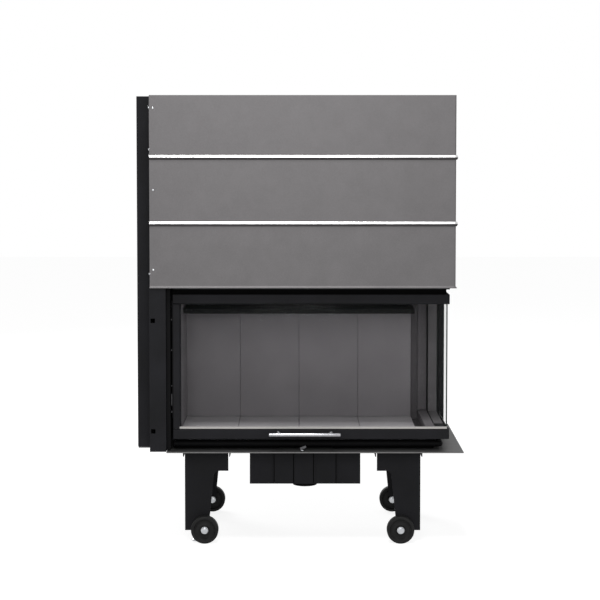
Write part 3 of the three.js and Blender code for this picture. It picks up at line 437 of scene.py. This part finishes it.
def addPanHead(bm, centre, axis, radius=fastenerSizes["panRadius"], s=fastenerSizes):
    r, h = radius, s["panHeight"]
    profile = [(0, h - s["slot"]), (r * 0.32, h - s["slot"]), (r * 0.36, h), (r * 0.6, h * 0.95),
               (r * 0.88, h * 0.62), (r, h * 0.15), (r, -0.2), (0, -0.2)]
    addTurned(bm, profile, centre, axis, 16, False)


# a hexagon nut or bolt head with a washer under it and a chamfered top
def addHexHead(bm, centre, axis, flats, height, washer=1.3):
    along = Vector(axis).normalized()
    radius = flats / math.sqrt(3)
    made = bmesh.ops.create_cone(bm, cap_ends=True, segments=6, radius1=radius * mm, radius2=radius * mm,
                                 depth=height * mm)["verts"]
    turn = along.to_track_quat("Z", "Y").to_matrix().to_4x4()
    bmesh.ops.transform(bm, matrix=Matrix.Translation(centre + along * height / 2 * mm) @ turn, verts=made)
    faces = {f for v in made for f in v.link_faces}
    edges = {e for f in faces for e in f.edges}
    rims = [e for e in edges if abs((e.verts[0].co - e.verts[1].co).dot(along)) < 1e-6]
    bmesh.ops.bevel(bm, geom=rims, offset=0.08 * flats * mm, offset_type="OFFSET", segments=2, profile=0.5,
                    affect="EDGES", material=-1)
    addTurned(bm, [(0, -0.1), (flats * 0.62, -0.1), (flats * 0.62, washer), (0, washer)], centre, axis, 32,
              False)


hoodShape = {
    "left": -480.5, "right": 501.5, "front": -272.0, "back": 122.7, "bottom": 845.0, "top": 1462.0,
    "corner": 4.0, "beads": (1050.8, 1263.6), "beadHeight": 16.0, "beadDepth": 6.0, "beadSteps": 20,
    "highlightShift": 0.4, "lip": 5.0, "sheet": 1.5, "hold": 2.0, "flange": 14.0, "flangeEdge": 0.4,
    "sideBack": -175.3, "lipHeight": 6.0, "cornerSteps": 8,
}


# pulls a row of edges along a way and gives the new row's corners and edges
def pullRow(bm, edges, way):
    made = bmesh.ops.extrude_edge_only(bm, edges=edges)["geom"]
    verts = [v for v in made if isinstance(v, bmesh.types.BMVert)]
    bmesh.ops.translate(bm, verts=verts, vec=way)
    row = [e for e in made if isinstance(e, bmesh.types.BMEdge) and all(v in verts for v in e.verts)]
    return verts, row


# the wrapper sheet: one profile with two rolled beads and a flared lip,
# run along the front and round the corner
def buildHood(s):
    profile = [(s["lip"], s["bottom"]), (s["lip"] * 0.86, s["bottom"] + 0.6),
               (s["lip"] * 0.5, s["bottom"] + 2.2), (s["lip"] * 0.16, s["bottom"] + 4.0),
               (0, s["bottom"] + s["lipHeight"]), (0, s["bottom"] + s["lipHeight"] + s["hold"])]
    for z in s["beads"]:
        for i in range(s["beadSteps"] + 1):
            t = math.pi * (i / s["beadSteps"] - 0.5)
            profile.append((s["beadDepth"] * math.cos(t) ** 0.9, z + s["beadHeight"] / 2 * math.sin(t)))
    profile.append((0, s["top"]))
    bm = bmesh.new()
    wire = [bm.verts.new(at(s["left"], s["front"] - out, z)) for out, z in profile]
    edges = [bm.edges.new(pair) for pair in zip(wire, wire[1:])]
    verts, row = pullRow(bm, edges, at(s["right"] - s["corner"] - s["left"] - s["hold"], 0, 0))
    verts, row = pullRow(bm, row, at(s["hold"], 0, 0))
    turned = bmesh.ops.spin(bm, geom=verts + row, axis=(0, 0, 1), angle=math.pi / 2, steps=s["cornerSteps"],
                            cent=at(s["right"] - s["corner"], s["front"] + s["corner"], 0),
                            use_merge=False, dvec=(0, 0, 0))
    row = [e for e in turned["geom_last"] if isinstance(e, bmesh.types.BMEdge)]
    for length in (s["hold"], s["back"] - s["front"] - s["corner"] - s["hold"]):
        verts, row = pullRow(bm, row, at(0, length, 0))
    bmesh.ops.remove_doubles(bm, verts=bm.verts, dist=weldDistance)
    bmesh.ops.recalc_face_normals(bm, faces=bm.faces)
    if max(bm.faces, key=lambda f: f.calc_area()).normal.y > 0:
        bmesh.ops.reverse_faces(bm, faces=bm.faces)
    bmesh.ops.solidify(bm, geom=bm.faces[:], thickness=s["sheet"] * mm)
    sheet = makePiece(bm, "hood_sheet", "root", "grey_sheet", ("hood",), angle=50)
    # the bead faces above the split take the painted highlight, those below it the painted shade
    for finish, down in ((beadCrest, False), (beadCrease, True)):
        shadeFaces(sheet, finish, lambda c, n: any(
            abs(c.z - z) < s["beadHeight"] / 2 and (c.z < z - s["highlightShift"]) == down for z in s["beads"]))


# the hood's inward flanges: along the top, and down its left end
def buildHoodFlanges(s):
    bm = bmesh.new()
    t, f = s["sheet"], s["flange"]
    addBlock(bm, at(s["left"], s["front"] + t, s["top"] - t), at(s["right"] - t, s["front"] + f, s["top"]))
    addBlock(bm, at(s["right"] - f, s["front"] + f, s["top"] - t), at(s["right"] - t, s["back"], s["top"]))
    addBlock(bm, at(s["left"], s["front"] + t, s["bottom"] + s["lipHeight"]),
             at(s["left"] + t, s["sideBack"], s["top"] - t))
    easeEdges(makePiece(bm, "hood_flanges", "root", "grey_sheet"), s["flangeEdge"])


hoodScrews = {"frontX": -468.5, "frontZ": (1421, 1159, 903), "sideY": -258.0, "sideZ": (1423, 1289, 889),
              "sideFlats": 7.0, "sideHeight": 3.6}


def buildHoodScrews(s, hood):
    bm = bmesh.new()
    for z in s["frontZ"]:
        addPanHead(bm, at(s["frontX"], hood["front"], z), (0, -1, 0))
    for z in s["sideZ"]:
        addHexHead(bm, at(hood["left"], s["sideY"], z), (-1, 0, 0), s["sideFlats"], s["sideHeight"])
    makePiece(bm, "hood_screws", "root", "zinc_steel")


# glass panes: clear faces, ground and arrised edges
def buildPane(node, edge=0.6):
    low, high = corners(node)
    bm = bmesh.new()
    addBlock(bm, low, high)
    bmesh.ops.bevel(bm, geom=bm.edges[:], offset=edge * mm, offset_type="OFFSET", segments=2, profile=0.5,
                    affect="EDGES", material=-1)
    broad = max(bm.faces, key=lambda f: f.calc_area()).normal.copy()
    for face in bm.faces:
        face.material_index = 0 if abs(face.normal.dot(broad)) > 0.99 else 1
    pane = makePiece(bm, node + "_pane", bodyOf[node], slotOf[node], (node,))
    pane.data.materials.append(glassEdge)


# cast boards: a plain slab with softly broken edges
def buildBoard(node, edge, finish=None):
    low, high = corners(node)
    bm = bmesh.new()
    addBlock(bm, low, high)
    easeEdges(makePiece(bm, node + "_board", bodyOf[node], slotOf[node], (node,), finish=finish), edge, 3)


wheelShape = {
    "x": (-310.5, 331.5), "z": 45.0, "frontY": (-217.0, -187.0), "rearY": (252.0, 282.0), "hub": 2.7,
    "half": 15.0, "radius": 45.0, "bore": 6.3, "hubRadius": 15.0, "web": 16.0, "rim": 36.0, "steps": 96,
    "frontPlate": -181.0, "rearPlate": 246.0,
}


# moulded wheel: rounded tread, raised rim ring, sunk web with a step and a hub boss
def wheelProfile(s, hubInner, hubOuter):
    r, rim, hub, half, web = s["radius"], s["rim"], s["hubRadius"], s["half"], s["web"] / 2
    side = [(s["bore"], hubOuter), (hub - 1, hubOuter), (hub, hubOuter - 1), (hub + 1.2, web + 0.6),
            (hub + 2, web), (rim - 7, web), (rim - 6, web + 1.2), (rim - 3.6, web + 1.2),
            (rim - 2.4, web + 2), (rim - 0.8, half - 0.8), (rim, half), (r - 4, half)]
    tread = [(r - 4 + 4 * math.sin(a), half - 4 + 4 * math.cos(a)) for a in (0.4, 0.8, 1.2)] + [
        (r, half - 4)]
    mirrored = [(radius, -place) for radius, place in reversed(side[1:] + tread)]
    return side + tread + mirrored + [(hub - 1, -hubInner), (s["bore"], -hubInner)]


def buildWheels(s, fastener):
    bolts = bmesh.new()
    for side, x in zip(("left", "right"), s["x"]):
        for end, (y0, y1) in (("front", s["frontY"]), ("rear", s["rearY"])):
            node = side + "_" + end + "_wheel"
            centre = at(x, (y0 + y1) / 2, s["z"])
            inward = 1 if end == "front" else -1
            bm = bmesh.new()
            addTurned(bm, wheelProfile(s, s["half"] + s["hub"], s["half"]), centre, (0, -inward, 0),
                      s["steps"])
            makePiece(bm, node + "_moulding", node, "wheel_black", (node,), angle=40)
            face = y0 if end == "front" else y1
            addHexHead(bolts, at(x, face, s["z"]), (0, -inward, 0), fastener["nutFlats"],
                       fastener["nutHeight"])
            plate = s["frontPlate"] if end == "front" else s["rearPlate"]
            addHexHead(bolts, at(x, plate, s["z"]), (0, inward, 0), fastener["nutFlats"],
                       fastener["nutHeight"])
    makePiece(bolts, "axle_bolts", "root", "zinc_steel", angle=25)


footShape = {
    "x": (-336.5, 357.5), "y": (-163.0, 228.0), "lift": (0.0, 14.0), "pad": 20.0, "padHeight": 8.0,
    "stem": 6.0, "length": 112.0, "pitch": 1.75, "threadDepth": 0.9, "tabZ": (72.0, 78.0),
    "nutFlats": 19.0, "nutHeight": 6.0, "steps": 32,
}


def buildFeet(s):
    nuts = bmesh.new()
    for side, x, lift in zip(("left", "right"), s["x"], s["lift"]):
        for end, y in zip(("front", "rear"), s["y"]):
            node = side + "_" + end + "_foot"
            bm = bmesh.new()
            profile = [(0, 0), (s["pad"] - 1.5, 0), (s["pad"] - 0.4, 0.5), (s["pad"], 1.6), (s["pad"], 4.6),
                       (s["pad"] - 1, 5.4), (9.5, s["padHeight"]), (s["stem"] + 0.6, s["padHeight"] + 3)]
            z = s["padHeight"] + 4
            while z < s["length"] - s["pitch"]:
                profile += [(s["stem"], z), (s["stem"] - s["threadDepth"], z + s["pitch"] / 2)]
                z += s["pitch"]
            profile += [(s["stem"] - 1.2, s["length"]), (0, s["length"])]
            addTurned(bm, profile, at(x, y, lift), (0, 0, 1), s["steps"], False)
            makePiece(bm, node + "_screw", node, "zinc_steel", (node,), angle=28)
            addHexHead(nuts, at(x, y, s["tabZ"][1]), (0, 0, 1), s["nutFlats"], s["nutHeight"])
            addHexHead(nuts, at(x, y, s["tabZ"][0]), (0, 0, -1), s["nutFlats"], s["nutHeight"])
    makePiece(nuts, "levelling_nuts", "root", "zinc_steel", angle=25)


handleShape = {
    "x": (-98.5, 132.5), "y": -282.0, "z": 371.7, "radius": 6.0, "posts": (-68.5, 102.5), "postRadius": 3.0,
    "doorFront": -248.3, "endRounding": 1.6,
}


def buildHandle(s):
    bm = bmesh.new()
    r, e, (x0, x1) = s["radius"], s["endRounding"], s["x"]
    middle, half = (x0 + x1) / 2, (x1 - x0) / 2
    quarter = [(r - e + e * math.cos(a), half - e + e * math.sin(a))
               for a in (0.0, 0.4, 0.8, 1.2, math.pi / 2)]
    profile = [(0, half)] + quarter[::-1] + [(radius, -place) for radius, place in quarter] + [(0, -half)]
    addTurned(bm, profile, at(middle, s["y"], s["z"]), (1, 0, 0), 48, False)
    for x in s["posts"]:
        length = s["doorFront"] - s["y"]
        post = [(0, 0), (s["postRadius"], 0), (s["postRadius"], length - 2.2),
                (s["postRadius"] + 2.4, length - 2.0), (s["postRadius"] + 2.8, length - 1.4),
                (s["postRadius"] + 2.8, length), (0, length)]
        addTurned(bm, post, at(x, s["y"], s["z"]), (0, 1, 0), 32, False)
    makePiece(bm, "handle_bar", "door", "stainless", ("handle",), angle=40)


pulleyShape = {
    "x": (-452.5, 465.5), "y": (-152.0, 183.0), "z": 1370.0, "pitch": 45.0, "groove": 2.3, "rim": 50.0,
    "half": 7.0, "hub": 14.0, "hubHalf": 11.0, "bore": 6.3, "steps": 96,
}


def buildPulleys(s):
    turns = [math.pi * i / 8 for i in range(9)]
    groove = [(s["pitch"] - s["groove"] * math.sin(a), s["groove"] * math.cos(a)) for a in turns]
    half, hub = s["half"], s["hub"]
    outer = [(s["bore"], s["hubHalf"]), (hub - 0.8, s["hubHalf"]), (hub, s["hubHalf"] - 0.8),
             (hub + 1, half - 1.5), (hub + 2.5, half - 2), (s["rim"] - 11, half - 2),
             (s["rim"] - 9, half - 0.6), (s["rim"] - 8, half), (s["rim"] - 0.8, half),
             (s["rim"], half - 0.8)]
    profile = outer + groove + [(radius, -place) for radius, place in reversed(outer)]
    for side, x, y in zip(("left", "right"), s["x"], s["y"]):
        node = side + "_pulley"
        bm = bmesh.new()
        addTurned(bm, profile, at(x, y, s["z"]), (1, 0, 0), s["steps"])
        makePiece(bm, node + "_sheave", node, "zinc_steel", (node,), angle=35)


rollerShape = {
    "nodes": ("left_lower_roller", "left_upper_roller", "right_lower_roller", "right_upper_roller"),
    "bore": 4.3, "bush": 5.6, "ring": 6.0, "ringEnd": 8.4, "shield": 8.8, "tyreFoot": 2.4, "tyre": 2.0,
    "rounding": 0.8, "recess": 0.3, "steps": 48,
}


# guide roller: a bearing's inner ring, its sunk shield and the outer ring that runs in the channel
def buildRollers(s):
    for node in s["nodes"]:
        low, high = corners(node)
        r, half = (high.z - low.z) / 2 / mm, (high.x - low.x) / 2 / mm
        bm = bmesh.new()
        sunk, soft = half - s["recess"], half - s["rounding"]
        side = [(s["bore"], sunk), (s["bush"], sunk), (s["ring"], half), (s["ringEnd"], half),
                (s["shield"], soft), (r - s["tyreFoot"], soft), (r - s["tyre"], half),
                (r - s["rounding"], half), (r, soft)]
        profile = side + [(radius, -place) for radius, place in reversed(side)]
        addTurned(bm, profile, (low + high) / 2, (1, 0, 0), s["steps"])
        makePiece(bm, node + "_bearing", node, "zinc_steel", (node,), angle=30)


cableShape = {
    "x": (-452.5, 465.5), "doorY": (-197.0, 138.0), "weightY": (-107.0, 228.0), "axleZ": 1370.0,
    "pitch": 45.0, "radius": 2.0, "lugZ": 800.3, "weightZ": 1300.3, "sides": 16, "rings": 8,
    "turnSteps": 32,
}


def addRun(bm, x, y, z0, z1, s):
    length, rings = z1 - z0, s["rings"]
    wall = [(s["radius"], length * i / rings) for i in range(1, rings + 1)]
    profile = [(0, 0), (s["radius"], 0)] + wall + [(0, length)]
    addTurned(bm, profile, at(x, y, z0), (0, 0, 1), s["sides"], False)


# three lengths a side: the door run and the weight run, left without a body, and the half turn over its
# pulley
def buildCables(s):
    for i, side in enumerate(("left", "right")):
        x, doorY, weightY, top = s["x"][i], s["doorY"][i], s["weightY"][i], s["axleZ"]
        bm = bmesh.new()
        addRun(bm, x, doorY, s["lugZ"], top, s)
        door = makePiece(bm, side + "_door_rope", "root", "steel_cable", (side + "_door_cable",))
        door.parent = None
        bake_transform(door)
        bm = bmesh.new()
        addRun(bm, x, weightY, s["weightZ"], top, s)
        weight = makePiece(bm, side + "_weight_rope", "root", "steel_cable", (side + "_weight_cable",))
        weight.parent = None
        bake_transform(weight)
        bm = bmesh.new()
        ring = bmesh.ops.create_circle(bm, cap_ends=True, segments=s["sides"],
                                       radius=s["radius"] * mm)["verts"]
        bmesh.ops.translate(bm, verts=ring, vec=at(x, doorY, top))
        disc = list({e for v in ring for e in v.link_edges}) + list({f for v in ring for f in v.link_faces})
        bmesh.ops.spin(bm, geom=ring + disc, cent=at(x, (doorY + weightY) / 2, top), axis=(1, 0, 0),
                       angle=-math.pi, steps=s["turnSteps"], use_merge=False, dvec=(0, 0, 0))
        makePiece(bm, side + "_rope_turn", "root", "steel_cable")


flueShape = {"x": -1.5, "y": -10.0, "bottom": 1179.6, "top": 1424.0, "radius": 100.0, "wall": 2.0,
             "bead": 3.0, "spigotX": 18.5, "spigotY": -42.0, "spigotBottom": 178.0, "spigotTop": 189.7,
             "spigot": 37.5, "collarSteps": 128, "spigotSteps": 96}


def buildRoundOutlets(s):
    r, z0, z1 = s["radius"], s["bottom"], s["top"]
    turns = [math.pi * i / 8 for i in range(9)]
    bead = [(r + s["bead"] * math.sin(a), z1 - 25 - 5 * math.cos(a)) for a in turns]
    profile = [(r - s["wall"], z0), (r + 3, z0), (r + 3, z0 + 3), (r, z0 + 6)] + bead + \
        [(r, z1 - 0.5), (r - 0.6, z1), (r - s["wall"] + 0.6, z1), (r - s["wall"], z1 - 0.5)]
    bm = bmesh.new()
    addTurned(bm, profile, at(s["x"], s["y"], 0), (0, 0, 1), s["collarSteps"])
    makePiece(bm, "flue_collar_ring", "root", "cast_iron", ("flue_collar",), angle=40)
    r, z0, z1 = s["spigot"], s["spigotBottom"], s["spigotTop"]
    bm = bmesh.new()
    addTurned(bm, [(r - 1.5, z0), (r, z0), (r, z1 - 2.6), (r + 1.1, z1 - 1.5), (r + 12, z1 - 1.5),
                   (r + 12, z1), (r - 1.5, z1)],
              at(s["spigotX"], s["spigotY"], 0), (0, 0, 1), s["spigotSteps"])
    makePiece(bm, "air_spigot_ring", "root", "fired_steel", ("air_spigot",), angle=40)


def addRod(bm, start, axis, radius, length, sides=20, rounding=0.5):
    profile = [(0, 0), (radius - rounding, 0), (radius, rounding), (radius, length - rounding),
               (radius - rounding, length), (0, length)]
    addTurned(bm, profile, start, axis, sides, False)


ferruleShape = {"radius": 4.2, "length": 18.0}


# pressed sleeves at the four held ends of the ropes
def buildFerrules(s, cable):
    for i, side in enumerate(("left", "right")):
        x = cable["x"][i]
        bm = bmesh.new()
        addRod(bm, at(x, cable["doorY"][i], cable["lugZ"]), (0, 0, 1), s["radius"], s["length"])
        makePiece(bm, side + "_door_ferrule", "door", "zinc_steel")
        bm = bmesh.new()
        addRod(bm, at(x, cable["weightY"][i], cable["weightZ"]), (0, 0, 1), s["radius"], s["length"])
        makePiece(bm, side + "_weight_ferrule", side + "_weight", "zinc_steel")


pulleyNuts = {"flats": 17.0, "height": 5.0, "faces": ((-438.2, -152.0, 1), (451.2, 183.0, -1))}


def buildPulleyNuts(s, cable):
    bm = bmesh.new()
    for x, y, way in s["faces"]:
        addHexHead(bm, at(x, y, cable["axleZ"]), (way, 0, 0), s["flats"], s["height"])
    makePiece(bm, "pulley_nuts", "root", "zinc_steel", angle=25)


shieldScrews = {"x": (-470.0, -40.0, 391.0, 411.0, 491.0), "y": 268.0, "sideX": 501.5, "sideY": 140.0,
                "z": (330.0, 610.0, 890.0, 1170.0, 1445.0)}


def buildShieldScrews(s):
    bm = bmesh.new()
    for z in s["z"]:
        for x in s["x"]:
            addPanHead(bm, at(x, s["y"], z), (0, 1, 0))
        addPanHead(bm, at(s["sideX"], s["sideY"], z), (1, 0, 0))
    makePiece(bm, "shield_screws", "root", "zinc_steel")


carriageScrews = {"x": -413.3, "y": -245.7, "z": (740.0, 641.0, 525.0, 440.0), "radius": 2.1,
                  "pinZ": (461.0, 499.0), "pinRadius": 1.3}


# small screws and an upright pin, seen in the gap beside the door
def buildCarriageScrews(s):
    bm = bmesh.new()
    for z in s["z"]:
        addPanHead(bm, at(s["x"], s["y"], z), (0, -1, 0), s["radius"])
    low, high = s["pinZ"]
    addRod(bm, at(s["x"], s["y"] - s["pinRadius"], low), (0, 0, 1), s["pinRadius"], high - low)
    makePiece(bm, "carriage_screws", "door", "zinc_steel", finish=oiledSteel)


boxSeals = {"x": (-83.5, -19.5, 46.5, 120.5), "front": -172.0, "z": (192.0, 308.0), "radius": 1.4}


# thin round beads down the front of the air box's fold seams, in the deepest black: painted shade in the
# seams
def buildBoxSeals(s):
    bm = bmesh.new()
    low, high = s["z"]
    for x in s["x"]:
        addRod(bm, at(x, s["front"], low), (0, 0, 1), s["radius"], high - low)
    makePiece(bm, "air_box_seam_shades", "root", "fired_steel", finish=seal)


fillerShape = {"edge": 1.2, "boards": (((388.2, 145.0, 343.0), (410.6, 157.4, 794.0)),
                                       ((388.2, -205.0, 343.0), (410.6, 144.7, 353.0)))}


# an upright board in the lining's right rear corner and a low one in front of it, in a darker lining that is
# painted shade in the recess
def buildCornerFiller(s):
    bm = bmesh.new()
    for low, high in s["boards"]:
        addBlock(bm, at(*low), at(*high))
    easeEdges(makePiece(bm, "corner_filler", "root", "refractory", finish=cornerFiller), s["edge"])


gripShape = {"centre": (12.0, -261.5, 326.0), "size": (20.0, 2.5, 8.0), "tilt": -22.0, "edge": 0.6,
             "stem": ((3.0, -262.7, 319.2), (9.0, -260.3, 324.0))}


# the tilted finger plate of the air lever, on a short stem
def buildLeverGrip(s):
    bm = bmesh.new()
    grip = addBlock(bm, at(*s["size"]) / -2, at(*s["size"]) / 2)
    bmesh.ops.rotate(bm, verts=grip, matrix=Matrix.Rotation(math.radians(s["tilt"]), 3, "Y"))
    bmesh.ops.translate(bm, verts=grip, vec=at(*s["centre"]))
    addBlock(bm, *[at(*corner) for corner in s["stem"]])
    easeEdges(makePiece(bm, "air_lever_grip", "air_lever", "zinc_steel", finish=oiledSteel), s["edge"])


sleeveShape = {"radius": 37.5, "wall": 1.5, "bottom": 162.0, "curl": 1.6, "shoulder": 4.0}


# a thin sleeve under the spigot, curled outwards at its lower end
def buildSleeve(s, flue):
    r, z0, z1, curl = s["radius"], s["bottom"], flue["spigotBottom"], s["curl"]
    turns = [math.pi * i / 6 for i in range(-6, 4)]
    rolled = [(r + curl + curl * math.cos(a), z0 + curl + curl * math.sin(a)) for a in turns]
    inside = r - s["wall"]
    bm = bmesh.new()
    addTurned(bm, [(inside, z1), (inside, z0 + curl)] + rolled + [(r, z0 + s["shoulder"]), (r, z1)],
              at(flue["spigotX"], flue["spigotY"], 0), (0, 0, 1), flue["spigotSteps"])
    makePiece(bm, "air_spigot_sleeve", "root", "fired_steel", angle=40)


easedWidths = {
    "left_front_panel": 0.7, "left_casing": 0.5, "right_casing": 0.5, "rear_shield": 0.4,
    "top_frame": 0.6, "plinth": 0.5, "lower_frame_rail": 0.8, "firebox_shell": 0.8, "smoke_dome": 0.8,
    "right_ledge": 1.6, "door_bottom_rail": 0.7, "door_top_rail": 0.7, "door_left_stile": 0.8,
    "door_rear_stile": 0.8, "side_glass_retainer": 0.5, "left_carriage": 0.6, "right_carriage": 0.6,
    "left_guide_rail": 0.5, "right_guide_rail": 0.5, "left_pulley_bracket": 0.7,
    "right_pulley_bracket": 0.7, "air_box": 0.4, "air_lever": 0.6, "left_leg": 0.7, "right_leg": 0.7,
    "base_plate": 0.7,
}
boardEdges = {
    "back_tile_1": 2.2, "back_tile_2": 2.2, "back_tile_3": 2.2, "back_tile_4": 2.2, "left_tile": 2.0,
    "rear_right_tile": 1.6, "baffle": 2.0, "left_weight": 2.5, "right_weight": 2.5,
}
floorShape = {
    "joints": (-410.7, -205.4, -1.4, 202.6, 387.5), "gap": 0.7, "front": -205.7, "back": 157.7,
    "bottom": 342.6, "top": 362.6, "edge": 1.2, "tapeLow": (-402.0, -247.4, 385.1),
    "tapeHigh": (478.0, -242.4, 392.0),
}


# hearth floor laid in four slabs whose joints carry on from the back wall; the front ends are given the
# deepest black, painted shade
def buildFloor(s):
    bm = bmesh.new()
    ends = s["joints"]
    for i in range(len(ends) - 1):
        left = ends[i] + (s["gap"] if i else 0)
        right = ends[i + 1] - (s["gap"] if i < len(ends) - 2 else 0)
        addBlock(bm, at(left, s["front"], s["bottom"]), at(right, s["back"], s["top"]))
    slabs = makePiece(bm, "floor_slabs", "root", "refractory", ("floor_tile",), finish=floorConcrete)
    easeEdges(shadeFaces(slabs, seal, lambda c, n: n.y < -0.9 and c.y < s["front"] + 1), s["edge"])
    # the pale tape strip at the foot of the glass: a painted highlight
    bm = bmesh.new()
    addBlock(bm, at(*s["tapeLow"]), at(*s["tapeHigh"]))
    easeEdges(makePiece(bm, "glass_tape_highlight", "door", "pale_sheet", finish=tape), 0.8)


# copies of the lining: painted light on the floor slabs, painted shade on the right ledge, the rear right
# tile and the baffle
ownFinish = {"floor_tile": floorConcrete, "right_ledge": sideConcrete, "rear_right_tile": sideConcrete,
             "baffle": baffleBoard}
# the levels in millimetres beyond which a piece's faces take another finish
lines = {"railTop": 826, "railBack": -247, "plateFront": -270, "mouth": -200, "shellLow": 353,
         "shellHigh": 789, "axleFront": -222.5, "axleRear": 287.5, "facing": 0.9}
sheets = {node: easedCopy(node, width, ownFinish.get(node)) for node, width in easedWidths.items()}
# painted shade: the door neck's faces take the deepest black
shadeFaces(sheets["door_top_rail"], seal, lambda c, n: c.z > lines["railTop"] and c.y > lines["railBack"])
# painted highlight: the base plate's front faces take the lighter edge steel
shadeFaces(sheets["base_plate"], plateEdge,
           lambda c, n: n.y < -lines["facing"] and c.y < lines["plateFront"])
# painted shade: faces in shadow on the lower rail's top, the plinth and ledge fronts and the firebox mouth
# take the deepest black
shadeFaces(sheets["lower_frame_rail"], seal, lambda c, n: n.z > lines["facing"])
shadeFaces(sheets["plinth"], seal, lambda c, n: c.y < lines["mouth"])
shadeFaces(sheets["right_ledge"], seal, lambda c, n: n.y < -lines["facing"] and c.y < lines["mouth"])
shadeFaces(sheets["firebox_shell"], seal,
           lambda c, n: c.y < lines["mouth"] and (c.z < lines["shellLow"] or c.z > lines["shellHigh"]))
for node in ("left_leg", "right_leg"):
    shadeFaces(sheets[node], finishes["zinc_steel"],
               lambda c, n: abs(n.y) > lines["facing"] and (
                   c.y < lines["axleFront"] or c.y > lines["axleRear"]))
for node, edge in boardEdges.items():
    buildBoard(node, edge, ownFinish.get(node))
buildFloor(floorShape)
print("stage: sheets and boards")
buildHood(hoodShape)
buildHoodFlanges(hoodShape)
buildHoodScrews(hoodScrews, hoodShape)
print("stage: hood")
buildPane("front_glass")
buildPane("side_glass")
buildHandle(handleShape)
print("stage: glass and handle")
buildWheels(wheelShape, fastenerSizes)
buildFeet(footShape)
buildPulleys(pulleyShape)
buildRollers(rollerShape)
buildCables(cableShape)
buildRoundOutlets(flueShape)
print("stage: running gear and outlets")
buildFerrules(ferruleShape, cableShape)
buildPulleyNuts(pulleyNuts, cableShape)
buildShieldScrews(shieldScrews)
buildCarriageScrews(carriageScrews)
buildBoxSeals(boxSeals)
buildCornerFiller(fillerShape)
buildLeverGrip(gripShape)
buildSleeve(sleeveShape, flueShape)
print("stage: fittings")


studio = {
    "cameraPlace": (-0.0015, -5.272, 1.255), "pitch": 3.0, "lens": 93.75, "shiftX": 0.0017,
    "shiftY": -0.0968, "topPlace": (-0.3, -1.9, 4.3), "topSize": 1.2, "topPower": 130,
    "frontPlace": (-0.15, -4.3, 2.0), "frontSize": 1.4, "frontPower": 60, "backPlace": (-2.6, 3.6, 3.2),
    "backSize": 2.2, "backPower": 110, "skyStrength": 0.5, "floorGlow": 0.7, "glowStrength": 1.2,
    "sensor": 36, "floorSize": 30,
}


def areaLight(name, place, size, power, target=(0, 0, 0.75)):
    lamp = bpy.data.lights.new(name, "AREA")
    lamp.size = size
    lamp.energy = power
    obj = bpy.data.objects.new(name, lamp)
    scene.collection.objects.link(obj)
    obj.location = place
    obj.rotation_euler = (Vector(target) - Vector(place)).to_track_quat("-Z", "Y").to_euler()


# 1 for rays that show the background: straight to the camera, mirrored in metal or through glass
def seenShare(tree):
    path = addNode(tree, "ShaderNodeLightPath").outputs
    seen = addNode(tree, "ShaderNodeMath", {0: path["Is Camera Ray"], 1: path["Is Transmission Ray"]},
                   operation="MAXIMUM").outputs[0]
    return addNode(tree, "ShaderNodeMath", {0: seen, 1: path["Is Glossy Ray"]},
                   operation="MAXIMUM").outputs[0]


def buildStudio(s):
    camera = bpy.data.cameras.new("camera")
    camera.lens = s["lens"]
    camera.sensor_width = s["sensor"]
    camera.shift_x = s["shiftX"]
    camera.shift_y = s["shiftY"]
    view = bpy.data.objects.new("camera", camera)
    view.location = s["cameraPlace"]
    view.rotation_euler = (math.radians(90 - s["pitch"]), 0, 0)
    scene.collection.objects.link(view)
    scene.camera = view
    areaLight("top", s["topPlace"], s["topSize"], s["topPower"])
    areaLight("front", s["frontPlace"], s["frontSize"], s["frontPower"])
    areaLight("back", s["backPlace"], s["backSize"], s["backPower"])

    world = bpy.data.worlds.new("studio")
    scene.world = world
    world.use_nodes = True
    tree = world.node_tree
    tree.nodes.clear()
    seen = seenShare(tree)
    strength = addNode(tree, "ShaderNodeMapRange", {"Value": seen, "To Min": s["skyStrength"],
                                                    "To Max": 1.0})
    sky = addNode(tree, "ShaderNodeBackground",
                  {"Color": linear("#ffffff"), "Strength": strength.outputs["Result"]})
    addNode(tree, "ShaderNodeOutputWorld", {"Surface": sky.outputs["Background"]})

    bpy.ops.mesh.primitive_plane_add(size=s["floorSize"])
    floor = bpy.context.object
    floor.name = "floor"
    material, tree, place = startMaterial("pale studio floor")
    lit = addNode(tree, "ShaderNodeBsdfDiffuse", {"Color": linear("#f4f4f4")})
    glow = addNode(tree, "ShaderNodeEmission", {"Color": linear("#ffffff"), "Strength": s["glowStrength"]})
    share = addNode(tree, "ShaderNodeMath", {0: seenShare(tree), 1: s["floorGlow"]}, operation="MULTIPLY")
    both = addNode(tree, "ShaderNodeMixShader", {"Fac": share.outputs[0], 1: lit.outputs[0],
                                                 2: glow.outputs[0]})
    addNode(tree, "ShaderNodeOutputMaterial", {"Surface": both.outputs[0]})
    floor.data.materials.append(material)
    scene.view_settings.view_transform = "Standard"


buildStudio(studio)
print("stage: studio")

bpy.context.view_layer.update()
